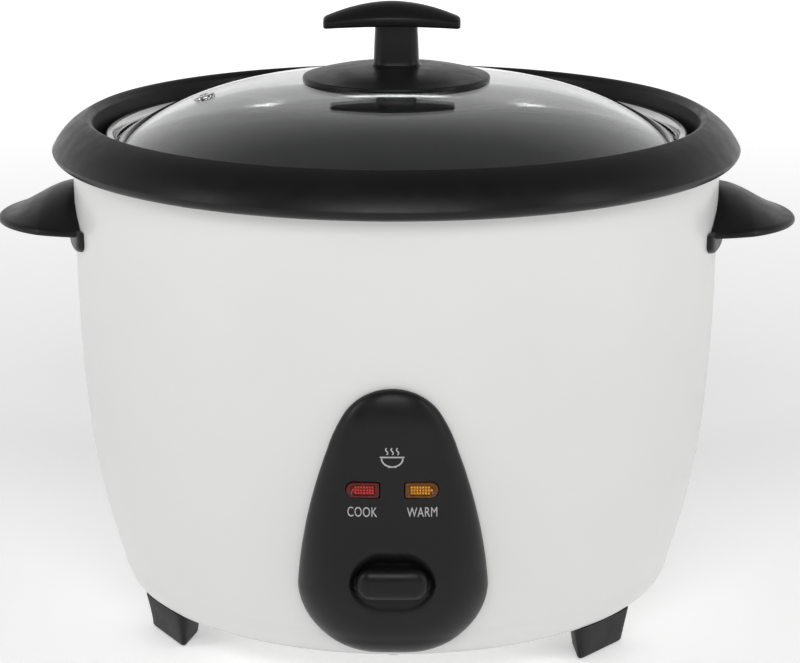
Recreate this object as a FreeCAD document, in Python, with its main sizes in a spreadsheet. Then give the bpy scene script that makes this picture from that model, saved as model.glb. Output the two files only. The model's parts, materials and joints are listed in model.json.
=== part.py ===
"""Rice cooker with a lift-out pot and a glass lid, as the separate pieces it comes apart into.

Frame: millimetres, +Z up, -Y is the front with the control panel, +X is the right-hand handle.
The origin is the centre of the plane that the four feet stand on.
"""
import FreeCAD
import Part
import math
import os
import Sketcher

Vector = FreeCAD.Vector
Rotation = FreeCAD.Rotation
Placement = FreeCAD.Placement
X_AXIS, Y_AXIS, Z_AXIS = Vector(1, 0, 0), Vector(0, 1, 0), Vector(0, 0, 1)

SIZES = {
    # casing
    "foot_height": 14, "cover_rim_height": 2, "cover_sheet": 1.2, "cover_radius": 111.3,
    "shell_wall": 1.0, "shell_low_radius": 113.0, "shell_heel_radius": 116.0, "shell_heel_rise": 9,
    "shell_middle_radius": 127.1, "shell_middle_height": 74, "shell_radius": 131.3,
    "shell_full_height": 150, "shell_top_radius": 131.9, "shell_top_height": 190.5,
    "shell_heel_curve": 22, "shell_low_curve": 290, "shell_high_curve": 630,
    "hem_inner_radius": 100, "hem_curve": 21, "cover_screw_circle": 104, "slot_half": 1.5,
    # rim ring
    "ring_radius": 140, "ring_wide_height": 194, "ring_crest_radius": 126.4, "ring_crest_height": 207,
    "ring_lip_radius": 123.2, "ring_lip_height": 204.2, "ring_seat_height": 190.4, "ring_wall": 2.4,
    "ring_inner_radius": 113.8, "ring_under_height": 189.3, "ring_under_rise": 1.3,
    "ring_under_step": 2.6, "ring_crest_curve": 4, "ring_slope_curve": 26, "ring_edge_curve": 4.5,
    "ring_under_curve": 30, "ring_skirt_clearance": 0.5,
    # heat shield bowl, heater plate and its element
    "liner_radius": 116, "liner_floor_height": 60, "liner_sheet": 1.0, "liner_corner": 10,
    "liner_flange_radius": 121, "plate_radius": 92, "plate_top_height": 76, "plate_thickness": 10,
    "plate_corner": 6, "plate_bore": 18.5, "plate_bevel": 2, "element_radius": 55,
    "element_half_width": 4.7, "element_depth": 7, "element_sunk": 3.8, "element_clearance": 0.2,
    "element_gap_angle": 30, "terminal_radius": 1.6, "terminal_hole": 4.5, "terminal_drop": 10,
    "post_circle": 75, "post_radius": 4, "post_screw_depth": 5.5,
    "screw_radius": 2.0, "screw_hole": 2.1,
    # thermostat in the middle of the plate
    "cup_radius": 17, "cup_wall": 1.0, "cup_floor": 1.5, "cup_base_height": 56.5, "cup_top_height": 73.5,
    "cup_flange_radius": 26, "cup_flange": 1.2, "cup_clearance": 0.4, "cap_radius": 15.6,
    "cap_wall": 0.8, "cap_corner": 1.5, "cap_top_height": 75.8, "cap_height": 9, "ferrite_radius": 12,
    "ferrite_thickness": 4, "ferrite_bore": 5.6, "magnet_radius": 11, "magnet_thickness": 6,
    "magnet_base_height": 61, "rod_radius": 2, "rod_clearance": 0.3, "rod_base_height": 43,
    "rod_flange_radius": 4.5, "rod_foot": 1.5, "rod_collar_gap": 4.2, "rod_collar": 1,
    # switch lever
    "pivot_back": 50, "pivot_height": 47, "pivot_radius": 1.5, "pivot_clearance": 0.06,
    "lever_thickness": 2, "lever_strip": 4, "lever_strip_under": 3.5, "lever_blade": 1.5,
    "lever_front": 121, "lever_key_height": 8.5, "lever_key_back": 112, "lever_neck": 96,
    "lever_spring_seat": 88, "lever_pad_half": 5.5, "fork_front": 11, "fork_back": 5, "fork_half": 6,
    "fork_slot": 2.6, "fork_curve": 2.8,
    "bracket_half_width": 5.2, "bracket_sheet": 1.2, "bracket_length": 24, "bracket_front": 38,
    "bracket_drop": 4, "key_width": 27, "key_height": 12.3, "key_corner": 5.4, "key_gap": 0.7,
    "key_center_height": 51.2, "key_front": 136.6, "key_depth": 12.5, "key_socket_half": 4,
    "key_socket_tall": 5.7, "key_socket_length": 14, "key_slot_low": 39, "key_slot_high": 62,
    # pot
    "pot_radius": 110, "pot_wall": 1.6, "pot_corner": 18, "pot_base_gap": 0.2, "pot_flange_radius": 121,
    "pot_flange_height": 191, "pot_neck": 4,
    # lid
    "glass_apex_height": 222, "glass_apex_bore": 4, "glass_thickness": 3.2, "glass_turn_radius": 60,
    "glass_turn_height": 217.4, "glass_edge_radius": 116.5, "glass_edge_height": 194.5,
    "glass_crown_curve": 394, "glass_skirt_curve": 133, "lid_rim_radius": 118.5,
    "lid_rim_base": 192.8, "lid_rim_top": 200.1, "lid_rim_sheet": 0.6, "lid_rim_foot": 3.5,
    "vent_circle": 78, "vent_azimuth": 184, "vent_radius": 4.6, "vent_bore": 1.9, "vent_hole": 2.9,
    "skirt_radius": 38.2, "skirt_rim_height": 1.9, "skirt_drop": 1.6, "skirt_top_height": 226,
    "skirt_edge": 0.9, "skirt_dome_curve": 95, "skirt_boss_radius": 11, "lid_screw_hole": 2.2,
    "stem_width": 18.3, "stem_depth": 14.5, "stem_corner": 5, "bar_width": 55.7, "bar_shift": 1.8,
    "bar_base_height": 240.9, "bar_tip_height": 245.4, "bar_top_height": 251.9, "bar_depth": 22,
    "bar_tip_depth": 11, "bar_edge": 1.2, "bar_edge_curve": 1.4, "bar_waist": 8, "bar_side_curve": 70,
    # control panel, lenses and lamps
    "panel_shoulder_half": 18.8, "panel_shoulder_height": 115, "panel_top_curve": 21.1,
    "panel_neck_half": 24.4, "panel_neck_height": 101.7, "panel_neck_curve": 60,
    "panel_half": 36.1, "panel_wide_height": 45.6, "panel_side_curve": 210,
    "panel_foot_half": 5, "panel_bottom": 17, "panel_foot_curve": 30.4,
    "panel_front_radius": 136.6, "panel_front_height": 92, "panel_low_radius": 119.5,
    "panel_crown_height": 150, "panel_crown_base": 131, "panel_crown_curve": 70, "panel_belly_curve": 150,
    "panel_hollow_half": 24, "panel_hollow_low": 41, "panel_hollow_high": 97, "panel_hollow_face": 126.5,
    "panel_boss_high": 112, "panel_boss_low": 27, "panel_high_face": 134.2, "panel_low_face": 121,
    "lens_width": 12.4, "lens_height": 6, "lens_center_height": 89.3, "lens_offset": 10.85,
    "lens_front": 136.9, "lens_length": 11.4, "lens_flange": 1.2, "lens_corner": 0.8, "lens_gap": 0.1,
    "scoop_half": 15.4, "scoop_top": 66, "scoop_bottom": 38, "scoop_depth": 4.5, "scoop_corner": 12,
    "holder_half": 18.5, "holder_tall": 4.6, "holder_sheet": 2.4, "holder_back": 122.6,
    "lamp_radius": 3, "lamp_length": 6.6, "lamp_back": 118.4,
    # side handles
    "handle_reach": 164, "handle_half": 41, "handle_base_height": 162.5, "handle_root_height": 177.6,
    "handle_flange_half": 46.5, "handle_flange_base": 156.5, "handle_flange_depth": 3.3,
    "handle_crown_curve": 97.5, "handle_crown_drop": 11.8, "handle_tip_height": 1.2,
    "handle_tip_curve": 540, "handle_nose": 20.8, "handle_nose_half": 36.6, "handle_nose_curve": 42.6,
    "handle_side_curve": 70, "handle_root": 126, "handle_screw_height": 167, "handle_screw_side": 22,
    # feet
    "foot_circle": 102.5, "foot_outer_half": 15.5, "foot_outer_face": 6.5, "foot_inner_half": 3,
    "foot_inner_face": 6, "foot_outer_corner": 1.3, "foot_inner_corner": 0.8, "foot_flare": 2.2,
    "foot_azimuth": 54.15, "foot_turn": 4.35, "foot_well": 9, "foot_well_radius": 4.6,
    # power inlet at the back
    "inlet_height": 44, "inlet_width": 27, "inlet_tall": 19, "inlet_face": 127.3, "inlet_depth": 22,
    "inlet_gap": 0.3, "inlet_corner": 1.5, "bezel_border": 5, "bezel_reach": 0.4,
    "socket_width": 24, "socket_tall": 16, "socket_depth": 17, "socket_bevel": 4,
    "pin_side": 7, "pin_drop": 1, "pin_lift": 1.5, "pin_half_width": 1, "pin_half_height": 2.5,
    "pin_gap": 0.1, "pin_back": 29, "pin_sunk": 3.5,
    # reach of cuts that pass right through, and the skin left between a fitting and the casing
    "through": 160, "skin_gap": 0.15,
}


class Size:
    """A length that carries its value in millimetres and the spreadsheet formula that gives it."""

    def __init__(self, value, text):
        self.value = float(value)
        self.text = text

    def join(self, other, sign, value):
        return Size(value, f"({self.text} {sign} {written(other)})")

    def __add__(self, other):
        return self.join(other, "+", self.value + number(other))

    def __sub__(self, other):
        return self.join(other, "-", self.value - number(other))

    def __mul__(self, other):
        return self.join(other, "*", self.value * number(other))

    def __truediv__(self, other):
        return self.join(other, "/", self.value / number(other))

    def __neg__(self):
        return Size(-self.value, f"(-1 * {self.text})")


def number(length):
    return length.value if isinstance(length, Size) else float(length)


def written(length):
    return length.text if isinstance(length, Size) else repr(float(length))


class Sheet:
    """The spreadsheet of driving dimensions, whose entries read as attributes."""

    def __init__(self, document):
        self.cells = document.addObject("Spreadsheet::Sheet", "Sizes")
        for row, (name, value) in enumerate(SIZES.items(), start=1):
            self.cells.set(f"A{row}", name)
            self.cells.set(f"B{row}", str(value))
            self.cells.setAlias(f"B{row}", name)
        document.recompute()

    def __getattr__(self, name):
        return Size(SIZES[name], f"Sizes.{name}")


doc = FreeCAD.newDocument("RiceCooker")
size = Sheet(doc)
nodes = []


# ---------------------------------------------------------------- drawing helpers

def bind(target, path, length):
    """Drive one property of an object from the sheet."""
    if isinstance(length, Size):
        target.setExpression(path, length.text)


def new_body(name, node=True):
    body = doc.addObject("PartDesign::Body", name)
    body.Label = name
    if node:
        nodes.append(body)
    return body


def place(sketch, value, kind, *where):
    """One dimension of a sketch: a size of the sheet, a bare number, or zero on an axis."""
    if kind in ("DistanceX", "DistanceY") and number(value) == 0 and not isinstance(value, Size):
        axis = -2 if kind == "DistanceX" else -1
        sketch.addConstraint(Sketcher.Constraint("PointOnObject", where[-2], where[-1], axis))
        return
    index = sketch.addConstraint(Sketcher.Constraint(kind, *where, number(value)))
    bind(sketch, f"Constraints[{index}]", value)


def arc_between(start, end, radius):
    """A circular arc; a positive radius turns left on the way from start to end."""
    chord = end - start
    half = chord.Length / 2
    height = math.sqrt(max(radius * radius - half * half, 0))
    side = Vector(-chord.y, chord.x, 0).normalize()
    bulge = abs(radius) - height
    middle = (start + end) / 2 - side * (bulge if radius > 0 else -bulge)
    return Part.Arc(start, middle, end)


def draw_loop(sketch, corners):
    """A closed outline of (u, v) corners; a third number bends the edge that arrives there."""
    first = sketch.GeometryCount
    points = [Vector(number(corner[0]), number(corner[1]), 0) for corner in corners]
    count = len(corners)
    for index in range(count):
        start, end = points[index], points[(index + 1) % count]
        corner = corners[(index + 1) % count]
        bend = corner[2] if len(corner) > 2 else None
        edge = Part.LineSegment(start, end) if bend is None else arc_between(start, end, number(bend))
        sketch.addGeometry(edge, False)
    for index in range(count):
        edge, after = first + index, first + (index + 1) % count
        ccw_edge, ccw_after = point_roles(corners, index), point_roles(corners, (index + 1) % count)
        sketch.addConstraint(Sketcher.Constraint("Coincident", edge, ccw_edge[1], after, ccw_after[0]))
    for index in range(count):
        edge = first + index
        start_role = point_roles(corners, index)[0]
        place(sketch, corners[index][0], "DistanceX", -1, 1, edge, start_role)
        place(sketch, corners[index][1], "DistanceY", -1, 1, edge, start_role)
        corner = corners[(index + 1) % count]
        if len(corner) > 2:
            place(sketch, corner[2] if number(corner[2]) > 0 else -corner[2], "Radius", edge)


def point_roles(corners, index):
    """Which ends of edge number index are its start and end: arcs always run anticlockwise."""
    corner = corners[(index + 1) % len(corners)]
    clockwise = len(corner) > 2 and number(corner[2]) < 0
    return (2, 1) if clockwise else (1, 2)


def draw_circle(sketch, center, radius):
    index = sketch.addGeometry(
        Part.Circle(Vector(number(center[0]), number(center[1]), 0), Z_AXIS, number(radius)), False)
    place(sketch, center[0], "DistanceX", -1, 1, index, 3)
    place(sketch, center[1], "DistanceY", -1, 1, index, 3)
    place(sketch, radius, "Radius", index)


def new_sketch(body, plane, loops=(), circles=(), offset=None):
    """A sketch on one of the body's own planes, moved along that plane's normal by offset."""
    sketch = body.newObject("Sketcher::SketchObject", body.Name + "Sketch")
    origin_plane = [item for item in body.Origin.OriginFeatures if item.Role == plane][0]
    sketch.AttachmentSupport = [(origin_plane, "")]
    sketch.MapMode = "FlatFace"
    if offset is not None:
        sketch.AttachmentOffset = Placement(Vector(0, 0, number(offset)), Rotation())
        bind(sketch, "AttachmentOffset.Base.z", offset)
    for loop in loops:
        draw_loop(sketch, loop)
    for center, radius in circles:
        draw_circle(sketch, center, radius)
    return sketch


def rounded_box(half_width, low, high, corner, center=0):
    """Corners of a rectangle with rounded corners, symmetric about u = center."""
    left = center - half_width if isinstance(center, Size) else -half_width + center
    right = center + half_width if isinstance(center, Size) else half_width + center
    return [
        (left + corner, low, corner), (right - corner, low), (right, low + corner, corner),
        (right, high - corner), (right - corner, high, corner), (left + corner, high),
        (left, high - corner, corner), (left, low + corner),
    ]


# ---------------------------------------------------------------- solid helpers

def revolve(body, loops, angle=360, cut=False):
    """Turn a profile of (radius, height) corners about the Z axis."""
    kind = "PartDesign::Groove" if cut else "PartDesign::Revolution"
    sketch = new_sketch(body, "XZ_Plane", loops)
    feature = body.newObject(kind, body.Name + "Turn")
    feature.Profile = sketch
    feature.ReferenceAxis = (sketch, ["V_Axis"])
    feature.Angle = number(angle)
    bind(feature, "Angle", angle)
    feature.Midplane = number(angle) < 360
    return feature


def extrude(body, plane, length, loops=(), circles=(), offset=None, cut=False, back=False, middle=False):
    """Pad or pocket an outline; back reverses the direction and middle splits it both ways."""
    sketch = new_sketch(body, plane, loops, circles, offset)
    feature = body.newObject("PartDesign::Pocket" if cut else "PartDesign::Pad", body.Name + "Run")
    feature.Profile = sketch
    feature.Length = number(length)
    bind(feature, "Length", length)
    feature.Reversed = back
    feature.Midplane = middle
    return feature


def around(radius, count, start=90.0):
    """Evenly spaced points on a circle about the Z axis."""
    angles = [math.radians(start + 360.0 * index / count) for index in range(count)]
    return [(radius * math.cos(angle), radius * math.sin(angle)) for angle in angles]


def cylinder(name, radius, length, base, direction=Z_AXIS):
    solid = doc.addObject("Part::Cylinder", name)
    solid.Radius = number(radius)
    solid.Height = number(length)
    bind(solid, "Radius", radius)
    bind(solid, "Height", length)
    solid.Placement = Placement(base, Rotation(Z_AXIS, direction))
    return solid


def box(name, low, high):
    """A box between two corners."""
    low_corner = Vector(*[number(part) for part in low])
    solid = doc.addObject("Part::Box", name)
    for prop, first, last in zip(("Length", "Width", "Height"), low, high):
        setattr(solid, prop, number(last) - number(first))
        if isinstance(last, Size):
            bind(solid, prop, last - first)
    solid.Placement = Placement(low_corner, Rotation())
    return solid


def combine(kind, name, pieces, node=False):
    """A boolean or a compound of finished objects; kind is Fuse, Cut or Compound."""
    if kind == "Cut":
        result = doc.addObject("Part::Cut", name)
        result.Base, result.Tool = pieces
    elif kind == "Fuse":
        result = doc.addObject("Part::MultiFuse", name)
        result.Shapes = pieces
    else:
        result = doc.addObject("Part::Compound", name)
        result.Links = pieces
    result.Label = name
    if node:
        nodes.append(result)
    return result


def screw(name, seat, direction, length, head_radius=3.6, head_height=2.2):
    """A pan-head screw whose head sits behind seat and whose shank runs along direction."""
    root, slot_half, overrun = 0.5, 0.45, 0.01
    head = cylinder(name + "Head", head_radius, head_height, seat - direction * head_height, direction)
    shank = cylinder(name + "Shank", size.screw_radius, length + root, seat - direction * root, direction)
    whole = combine("Fuse", name + "Blank", [head, shank])
    slots = []
    for index in range(2):
        slot = doc.addObject("Part::Box", f"{name}Slot{index}")
        slot.Length = head_radius * 1.2
        slot.Width = slot_half * 2
        slot.Height = head_height * 0.6
        local = Placement(Vector(-head_radius * 0.6, -slot_half, -head_height - overrun), Rotation())
        turn = Placement(Vector(), Rotation(Z_AXIS, 90 * index))
        slot.Placement = Placement(seat, Rotation(Z_AXIS, direction)) * turn * local
        slots.append(slot)
    cross = combine("Fuse", name + "Cross", slots)
    return combine("Cut", name, [whole, cross])


def screw_group(name, seats, directions, length, **head):
    """One node that holds the screws of one kind, each with its own seat and direction."""
    pieces = [screw(f"{name}_{index}", seat, direction, length, **head)
              for index, (seat, direction) in enumerate(zip(seats, directions))]
    return combine("Compound", name, pieces, node=True)


def coil(name, center, base, top, radius, wire, turns):
    """A compression spring about a vertical line, between two heights."""
    height = number(top) - number(base) - 2 * wire
    helix = doc.addObject("Part::Helix", name + "Line")
    helix.Pitch = height / turns
    helix.Height = height
    helix.Radius = radius
    helix.Placement = Placement(Vector(*center, number(base) + wire), Rotation())
    section = doc.addObject("Part::Circle", name + "Section")
    section.Radius = wire
    section.Placement = Placement(Vector(center[0] + radius, center[1], number(base) + wire),
                                  Rotation(X_AXIS, 90))
    spring = doc.addObject("Part::Sweep", name)
    spring.Label = name
    spring.Sections = [section]
    spring.Spine = (helix, ["Edge1"])
    spring.Solid = True
    spring.Frenet = True
    nodes.append(spring)
    return spring


# ---------------------------------------------------------------- casing

def shell_curve(shift):
    """The casing's outer line from bottom to top, moved outwards by shift."""
    base = size.foot_height + size.cover_rim_height
    return [
        (size.shell_low_radius + shift, base),
        (size.shell_heel_radius + shift, base + size.shell_heel_rise, size.shell_heel_curve),
        (size.shell_middle_radius + shift, size.shell_middle_height, size.shell_low_curve),
        (size.shell_radius + shift, size.shell_full_height, size.shell_high_curve),
        (size.shell_top_radius + shift, size.shell_top_height),
    ]


def back_down(points):
    """The same line walked the other way, with its bends moved to the right corners."""
    walked = []
    for index in range(len(points) - 1, -1, -1):
        bend = points[index + 1][2:] if index + 1 < len(points) else ()
        walked.append((points[index][0], points[index][1]) + tuple(-value for value in bend))
    return walked


def envelope(shift):
    """Everything inside the casing's outer line, as a profile to cut with."""
    line = shell_curve(shift)
    low_radius = line[0][0]
    top_radius = line[-1][0]
    above = size.glass_apex_height
    return [(0, 0), (low_radius, 0)] + line + [(top_radius, above), (0, above)]


def handle_screw_spots():
    side = size.handle_screw_side
    return [(-side, size.handle_screw_height), (side, size.handle_screw_height)]


def cover_screw_spots():
    return around(size.cover_screw_circle.value, 4)


def bracket_screw_spots():
    """Distances in front of the axis, one on each side of the lever's pivot."""
    return [size.pivot_back.value + offset for offset in (7, -7)]


def outer_shell():
    body = new_body("outer_shell")
    base = size.foot_height + size.cover_rim_height
    hem_top = base + size.shell_wall
    outside = shell_curve(0)
    inside = back_down(shell_curve(-size.shell_wall))[:-1]
    hem = [
        (size.shell_low_radius - size.shell_wall, hem_top, -size.hem_curve),
        (size.hem_inner_radius, hem_top), (size.hem_inner_radius, base),
    ]
    revolve(body, [outside + inside + hem])
    lamp_side = size.lens_offset + size.lens_width / 2 + 2.4
    lamp_tall = size.lens_height / 2 + 2.5
    gap = size.inlet_gap
    front_windows = [
        rounded_box(size.key_width / 2 - 3, size.key_slot_low, size.key_slot_high, 2),
        rounded_box(lamp_side, size.lens_center_height - lamp_tall, size.lens_center_height + lamp_tall,
                    size.inlet_corner),
    ]
    panel_holes = [((0, height), size.screw_hole) for height in (size.panel_boss_high, size.panel_boss_low)]
    extrude(body, "XZ_Plane", size.through, front_windows, panel_holes, cut=True, back=True)
    extrude(body, "XZ_Plane", size.through, [
        rounded_box(size.inlet_width / 2 + gap, size.inlet_height - size.inlet_tall / 2 - gap,
                    size.inlet_height + size.inlet_tall / 2 + gap, size.inlet_corner)], cut=True)
    handle_holes = [(spot, size.screw_hole) for spot in handle_screw_spots()]
    extrude(body, "YZ_Plane", size.through * 2, circles=handle_holes, cut=True, middle=True)
    cover_holes = [(spot, size.screw_hole) for spot in cover_screw_spots()]
    extrude(body, "XY_Plane", base + 4, circles=cover_holes, cut=True, back=True)
    return body


def rim_ring():
    """A rolled hollow ring with a ledge inside on which the pot's flange rests."""
    body = new_body("rim_ring")
    wall, seat = size.ring_wall, size.ring_seat_height
    skirt = size.shell_top_radius + size.ring_skirt_clearance
    neck = size.ring_lip_radius + wall - 1.0
    revolve(body, [[
        (size.ring_inner_radius, seat - wall), (size.ring_inner_radius, seat),
        (size.ring_lip_radius - 1.0, seat), (size.ring_lip_radius, size.ring_lip_height),
        (size.ring_crest_radius, size.ring_crest_height, -size.ring_crest_curve),
        (size.ring_radius, size.ring_wide_height, -size.ring_slope_curve),
        (size.ring_radius - size.ring_under_step, size.ring_under_height + size.ring_under_rise,
         -size.ring_edge_curve),
        (skirt, size.ring_under_height, -size.ring_under_curve),
        (skirt, size.ring_under_height + wall),
        (size.ring_radius - wall - 2.8, size.ring_wide_height - 0.5, size.ring_under_curve),
        (size.ring_crest_radius + 0.2, size.ring_crest_height - wall, size.ring_slope_curve),
        (size.ring_lip_radius + wall, size.ring_lip_height - wall), (neck, seat + 0.5),
        (neck, seat - wall),
    ]])
    return body


TERMINAL_ANGLE = 20.0


def terminal_spots(radius):
    """The element's two terminals stand near the ends of its open side, at the left."""
    angles = [math.radians(180 - TERMINAL_ANGLE), math.radians(180 + TERMINAL_ANGLE)]
    return [(radius * math.cos(angle), radius * math.sin(angle)) for angle in angles]


def inner_liner():
    body = new_body("inner_liner")
    sheet = size.liner_sheet
    floor = size.liner_floor_height
    top = size.ring_seat_height - size.ring_wall
    bore = size.cup_radius + size.cup_clearance
    revolve(body, [[
        (bore, floor), (size.liner_radius - size.liner_corner, floor),
        (size.liner_radius, floor + size.liner_corner, size.liner_corner),
        (size.liner_radius, top - sheet), (size.liner_flange_radius, top - sheet),
        (size.liner_flange_radius, top), (size.liner_radius - sheet, top),
        (size.liner_radius - sheet, floor + size.liner_corner),
        (size.liner_radius - size.liner_corner, floor + sheet, -(size.liner_corner - sheet)),
        (bore, floor + sheet),
    ]])
    holes = [(spot, size.screw_hole) for spot in around(size.post_circle.value, 3)]
    holes += [(spot, size.terminal_hole) for spot in terminal_spots(size.element_radius.value)]
    holes += [((0, -spot), size.screw_hole) for spot in bracket_screw_spots()]
    extrude(body, "XY_Plane", size.through, circles=holes, cut=True, back=True)
    return body


def bottom_cover():
    body = new_body("bottom_cover")
    base = size.foot_height
    revolve(body, [[
        (0, base), (size.cover_radius - 1, base), (size.cover_radius, base + 1, 1.0),
        (size.cover_radius + 0.5, base + size.cover_rim_height),
        (size.cover_radius - 0.7, base + size.cover_rim_height),
        (size.cover_radius - 1.6, base + size.cover_sheet), (0, base + size.cover_sheet),
    ]])
    slots = []
    for row in range(-3, 4):
        reach = 26 - 3 * abs(row)
        middle, half = row * 8, SIZES["slot_half"]
        slots.append(rounded_box(reach, middle - half, middle + half, half - 0.1))
    screws = [(spot, size.screw_hole) for spot in cover_screw_spots() + foot_spots()]
    extrude(body, "XY_Plane", base + size.cover_rim_height, slots, screws, cut=True, back=True)
    return body


def foot_angles():
    """Azimuths of the feet; the whole set is turned a few degrees from the casing's own symmetry."""
    front, rear = -90.0 - number(size.foot_turn), 90.0 - number(size.foot_turn)
    spread = number(size.foot_azimuth)
    return {
        "foot_front_left": front - spread, "foot_front_right": front + spread,
        "foot_rear_left": rear + spread, "foot_rear_right": rear - spread,
    }


def foot_spots():
    radius = number(size.foot_circle)
    return [(radius * math.cos(math.radians(angle)), radius * math.sin(math.radians(angle)))
            for angle in foot_angles().values()]


def foot_outline(flare):
    """Top view of a foot: long outer side, flanks that close in at 45 degrees, short inner side."""
    eighth = math.radians(45)
    spread = 1 / math.sin(eighth)
    outer, inner = size.foot_outer_half + flare * (spread + 1), size.foot_inner_half + flare * (spread - 1)
    front, back = -size.foot_outer_face - flare, size.foot_inner_face + flare
    outer_bend, inner_bend = size.foot_outer_corner + flare, size.foot_inner_corner + flare
    outer_cut, inner_cut = outer_bend / math.tan(eighth / 2), inner_bend * math.tan(eighth / 2)
    outer_step, inner_step = outer_cut * math.sin(eighth), inner_cut * math.sin(eighth)
    return [
        (-outer + outer_cut, front, outer_bend), (outer - outer_cut, front),
        (outer - outer_step, front + outer_step, outer_bend),
        (inner + inner_step, back - inner_step), (inner - inner_cut, back, inner_bend),
        (-inner + inner_cut, back), (-inner - inner_step, back - inner_step, inner_bend),
        (-outer + outer_step, front + outer_step),
    ]


def foot(name, angle):
    """A block that widens upwards, whose local -Y points outwards, with a counterbored screw hole."""
    body = new_body(name)
    loft = body.newObject("PartDesign::AdditiveLoft", name + "Loft")
    loft.Profile = new_sketch(body, "XY_Plane", [foot_outline(0)])
    loft.Sections = [new_sketch(body, "XY_Plane", [foot_outline(size.foot_flare)], offset=size.foot_height)]
    loft.Ruled = True
    well = [((0, 0), size.foot_well_radius)]
    extrude(body, "XY_Plane", size.foot_well, circles=well, cut=True, back=True)
    extrude(body, "XY_Plane", size.foot_height, circles=[((0, 0), size.screw_hole)], cut=True, back=True)
    radius = number(size.foot_circle)
    spot = Vector(radius * math.cos(math.radians(angle)), radius * math.sin(math.radians(angle)), 0)
    body.Placement = Placement(spot, Rotation(Z_AXIS, angle + 90))
    return body


# ---------------------------------------------------------------- heater and thermostat

def heater_plate():
    body = new_body("heater_plate")
    top, corner, bevel = size.plate_top_height, size.plate_corner, size.plate_bevel
    base = top - size.plate_thickness
    groove_inner = size.element_radius - size.element_half_width - size.element_clearance
    groove_outer = size.element_radius + size.element_half_width + size.element_clearance
    groove_top = base + size.element_sunk + size.element_clearance
    revolve(body, [[
        (size.plate_bore, base), (groove_inner, base), (groove_inner, groove_top),
        (groove_outer, groove_top), (groove_outer, base),
        (size.plate_radius - bevel, base), (size.plate_radius, base + bevel),
        (size.plate_radius, top - corner), (size.plate_radius - corner, top, corner),
        (size.plate_bore, top),
    ]])
    holes = [(spot, size.screw_hole) for spot in around(size.post_circle.value, 3)]
    extrude(body, "XY_Plane", size.post_screw_depth, circles=holes, offset=base, cut=True, back=True)
    return body


def heating_element():
    """An open ring whose lower half is round, with its two terminals pointing down."""
    body = new_body("heating_element")
    top = size.plate_top_height - size.plate_thickness + size.element_sunk
    inner = size.element_radius - size.element_half_width
    outer = size.element_radius + size.element_half_width
    low = top - size.element_depth
    belly = low + size.element_half_width
    revolve(body, [[
        (inner, top), (inner, belly), (outer, belly, size.element_half_width * 1.05), (outer, top),
    ]], angle=Size(360, "360") - size.element_gap_angle)
    terminals = [(spot, size.terminal_radius) for spot in terminal_spots(size.element_radius.value)]
    extrude(body, "XY_Plane", size.terminal_drop, circles=terminals, offset=low + 2, back=True)
    return body


def plate_posts():
    posts = []
    floor = size.liner_floor_height + size.liner_sheet
    length = size.plate_top_height - size.plate_thickness - floor
    for index, (along, across) in enumerate(around(size.post_circle.value, 3)):
        base = Vector(along, across, number(floor))
        post = cylinder(f"post{index}", size.post_radius, length, base)
        bore = cylinder(f"post{index}Bore", size.screw_hole, length, base)
        posts.append(combine("Cut", f"plate_post_{index}", [post, bore]))
    return combine("Compound", "plate_posts", posts, node=True)


def thermostat_cup():
    body = new_body("thermostat_cup")
    wall, base, floor = size.cup_wall, size.cup_base_height, size.liner_floor_height
    bore, inner_floor = size.rod_radius + size.rod_clearance, base + size.cup_floor
    flange_base = floor - size.cup_flange
    revolve(body, [[
        (bore, base), (size.cup_radius, base), (size.cup_radius, flange_base),
        (size.cup_flange_radius, flange_base), (size.cup_flange_radius, floor),
        (size.cup_radius, floor), (size.cup_radius, size.cup_top_height),
        (size.cup_radius - wall, size.cup_top_height), (size.cup_radius - wall, inner_floor),
        (bore, inner_floor),
    ]])
    return body


def sensor_cap():
    body = new_body("sensor_cap")
    top, wall, corner, radius = size.cap_top_height, size.cap_wall, size.cap_corner, size.cap_radius
    base = top - size.cap_height
    revolve(body, [[
        (0, top - wall), (radius - wall, top - wall), (radius - wall, base),
        (radius, base), (radius, top - corner), (radius - corner, top, corner), (0, top),
    ]])
    return body


def disc(name, inner, outer, base, top):
    body = new_body(name)
    revolve(body, [[(inner, base), (outer, base), (outer, top), (inner, top)]])
    return body


def pull_rod():
    """A thin rod with a foot and a collar, between which the lever's fork sits."""
    body = new_body("pull_rod")
    base, rod, flange = size.rod_base_height, size.rod_radius, size.rod_flange_radius
    foot_top = base + size.rod_foot
    collar_base = foot_top + size.rod_collar_gap
    collar_top = collar_base + size.rod_collar
    revolve(body, [[
        (0, base), (flange, base), (flange, foot_top), (rod, foot_top), (rod, collar_base),
        (flange, collar_base), (flange, collar_top), (rod, collar_top),
        (rod, size.magnet_base_height), (0, size.magnet_base_height),
    ]])
    return body


# ---------------------------------------------------------------- switch lever

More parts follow.
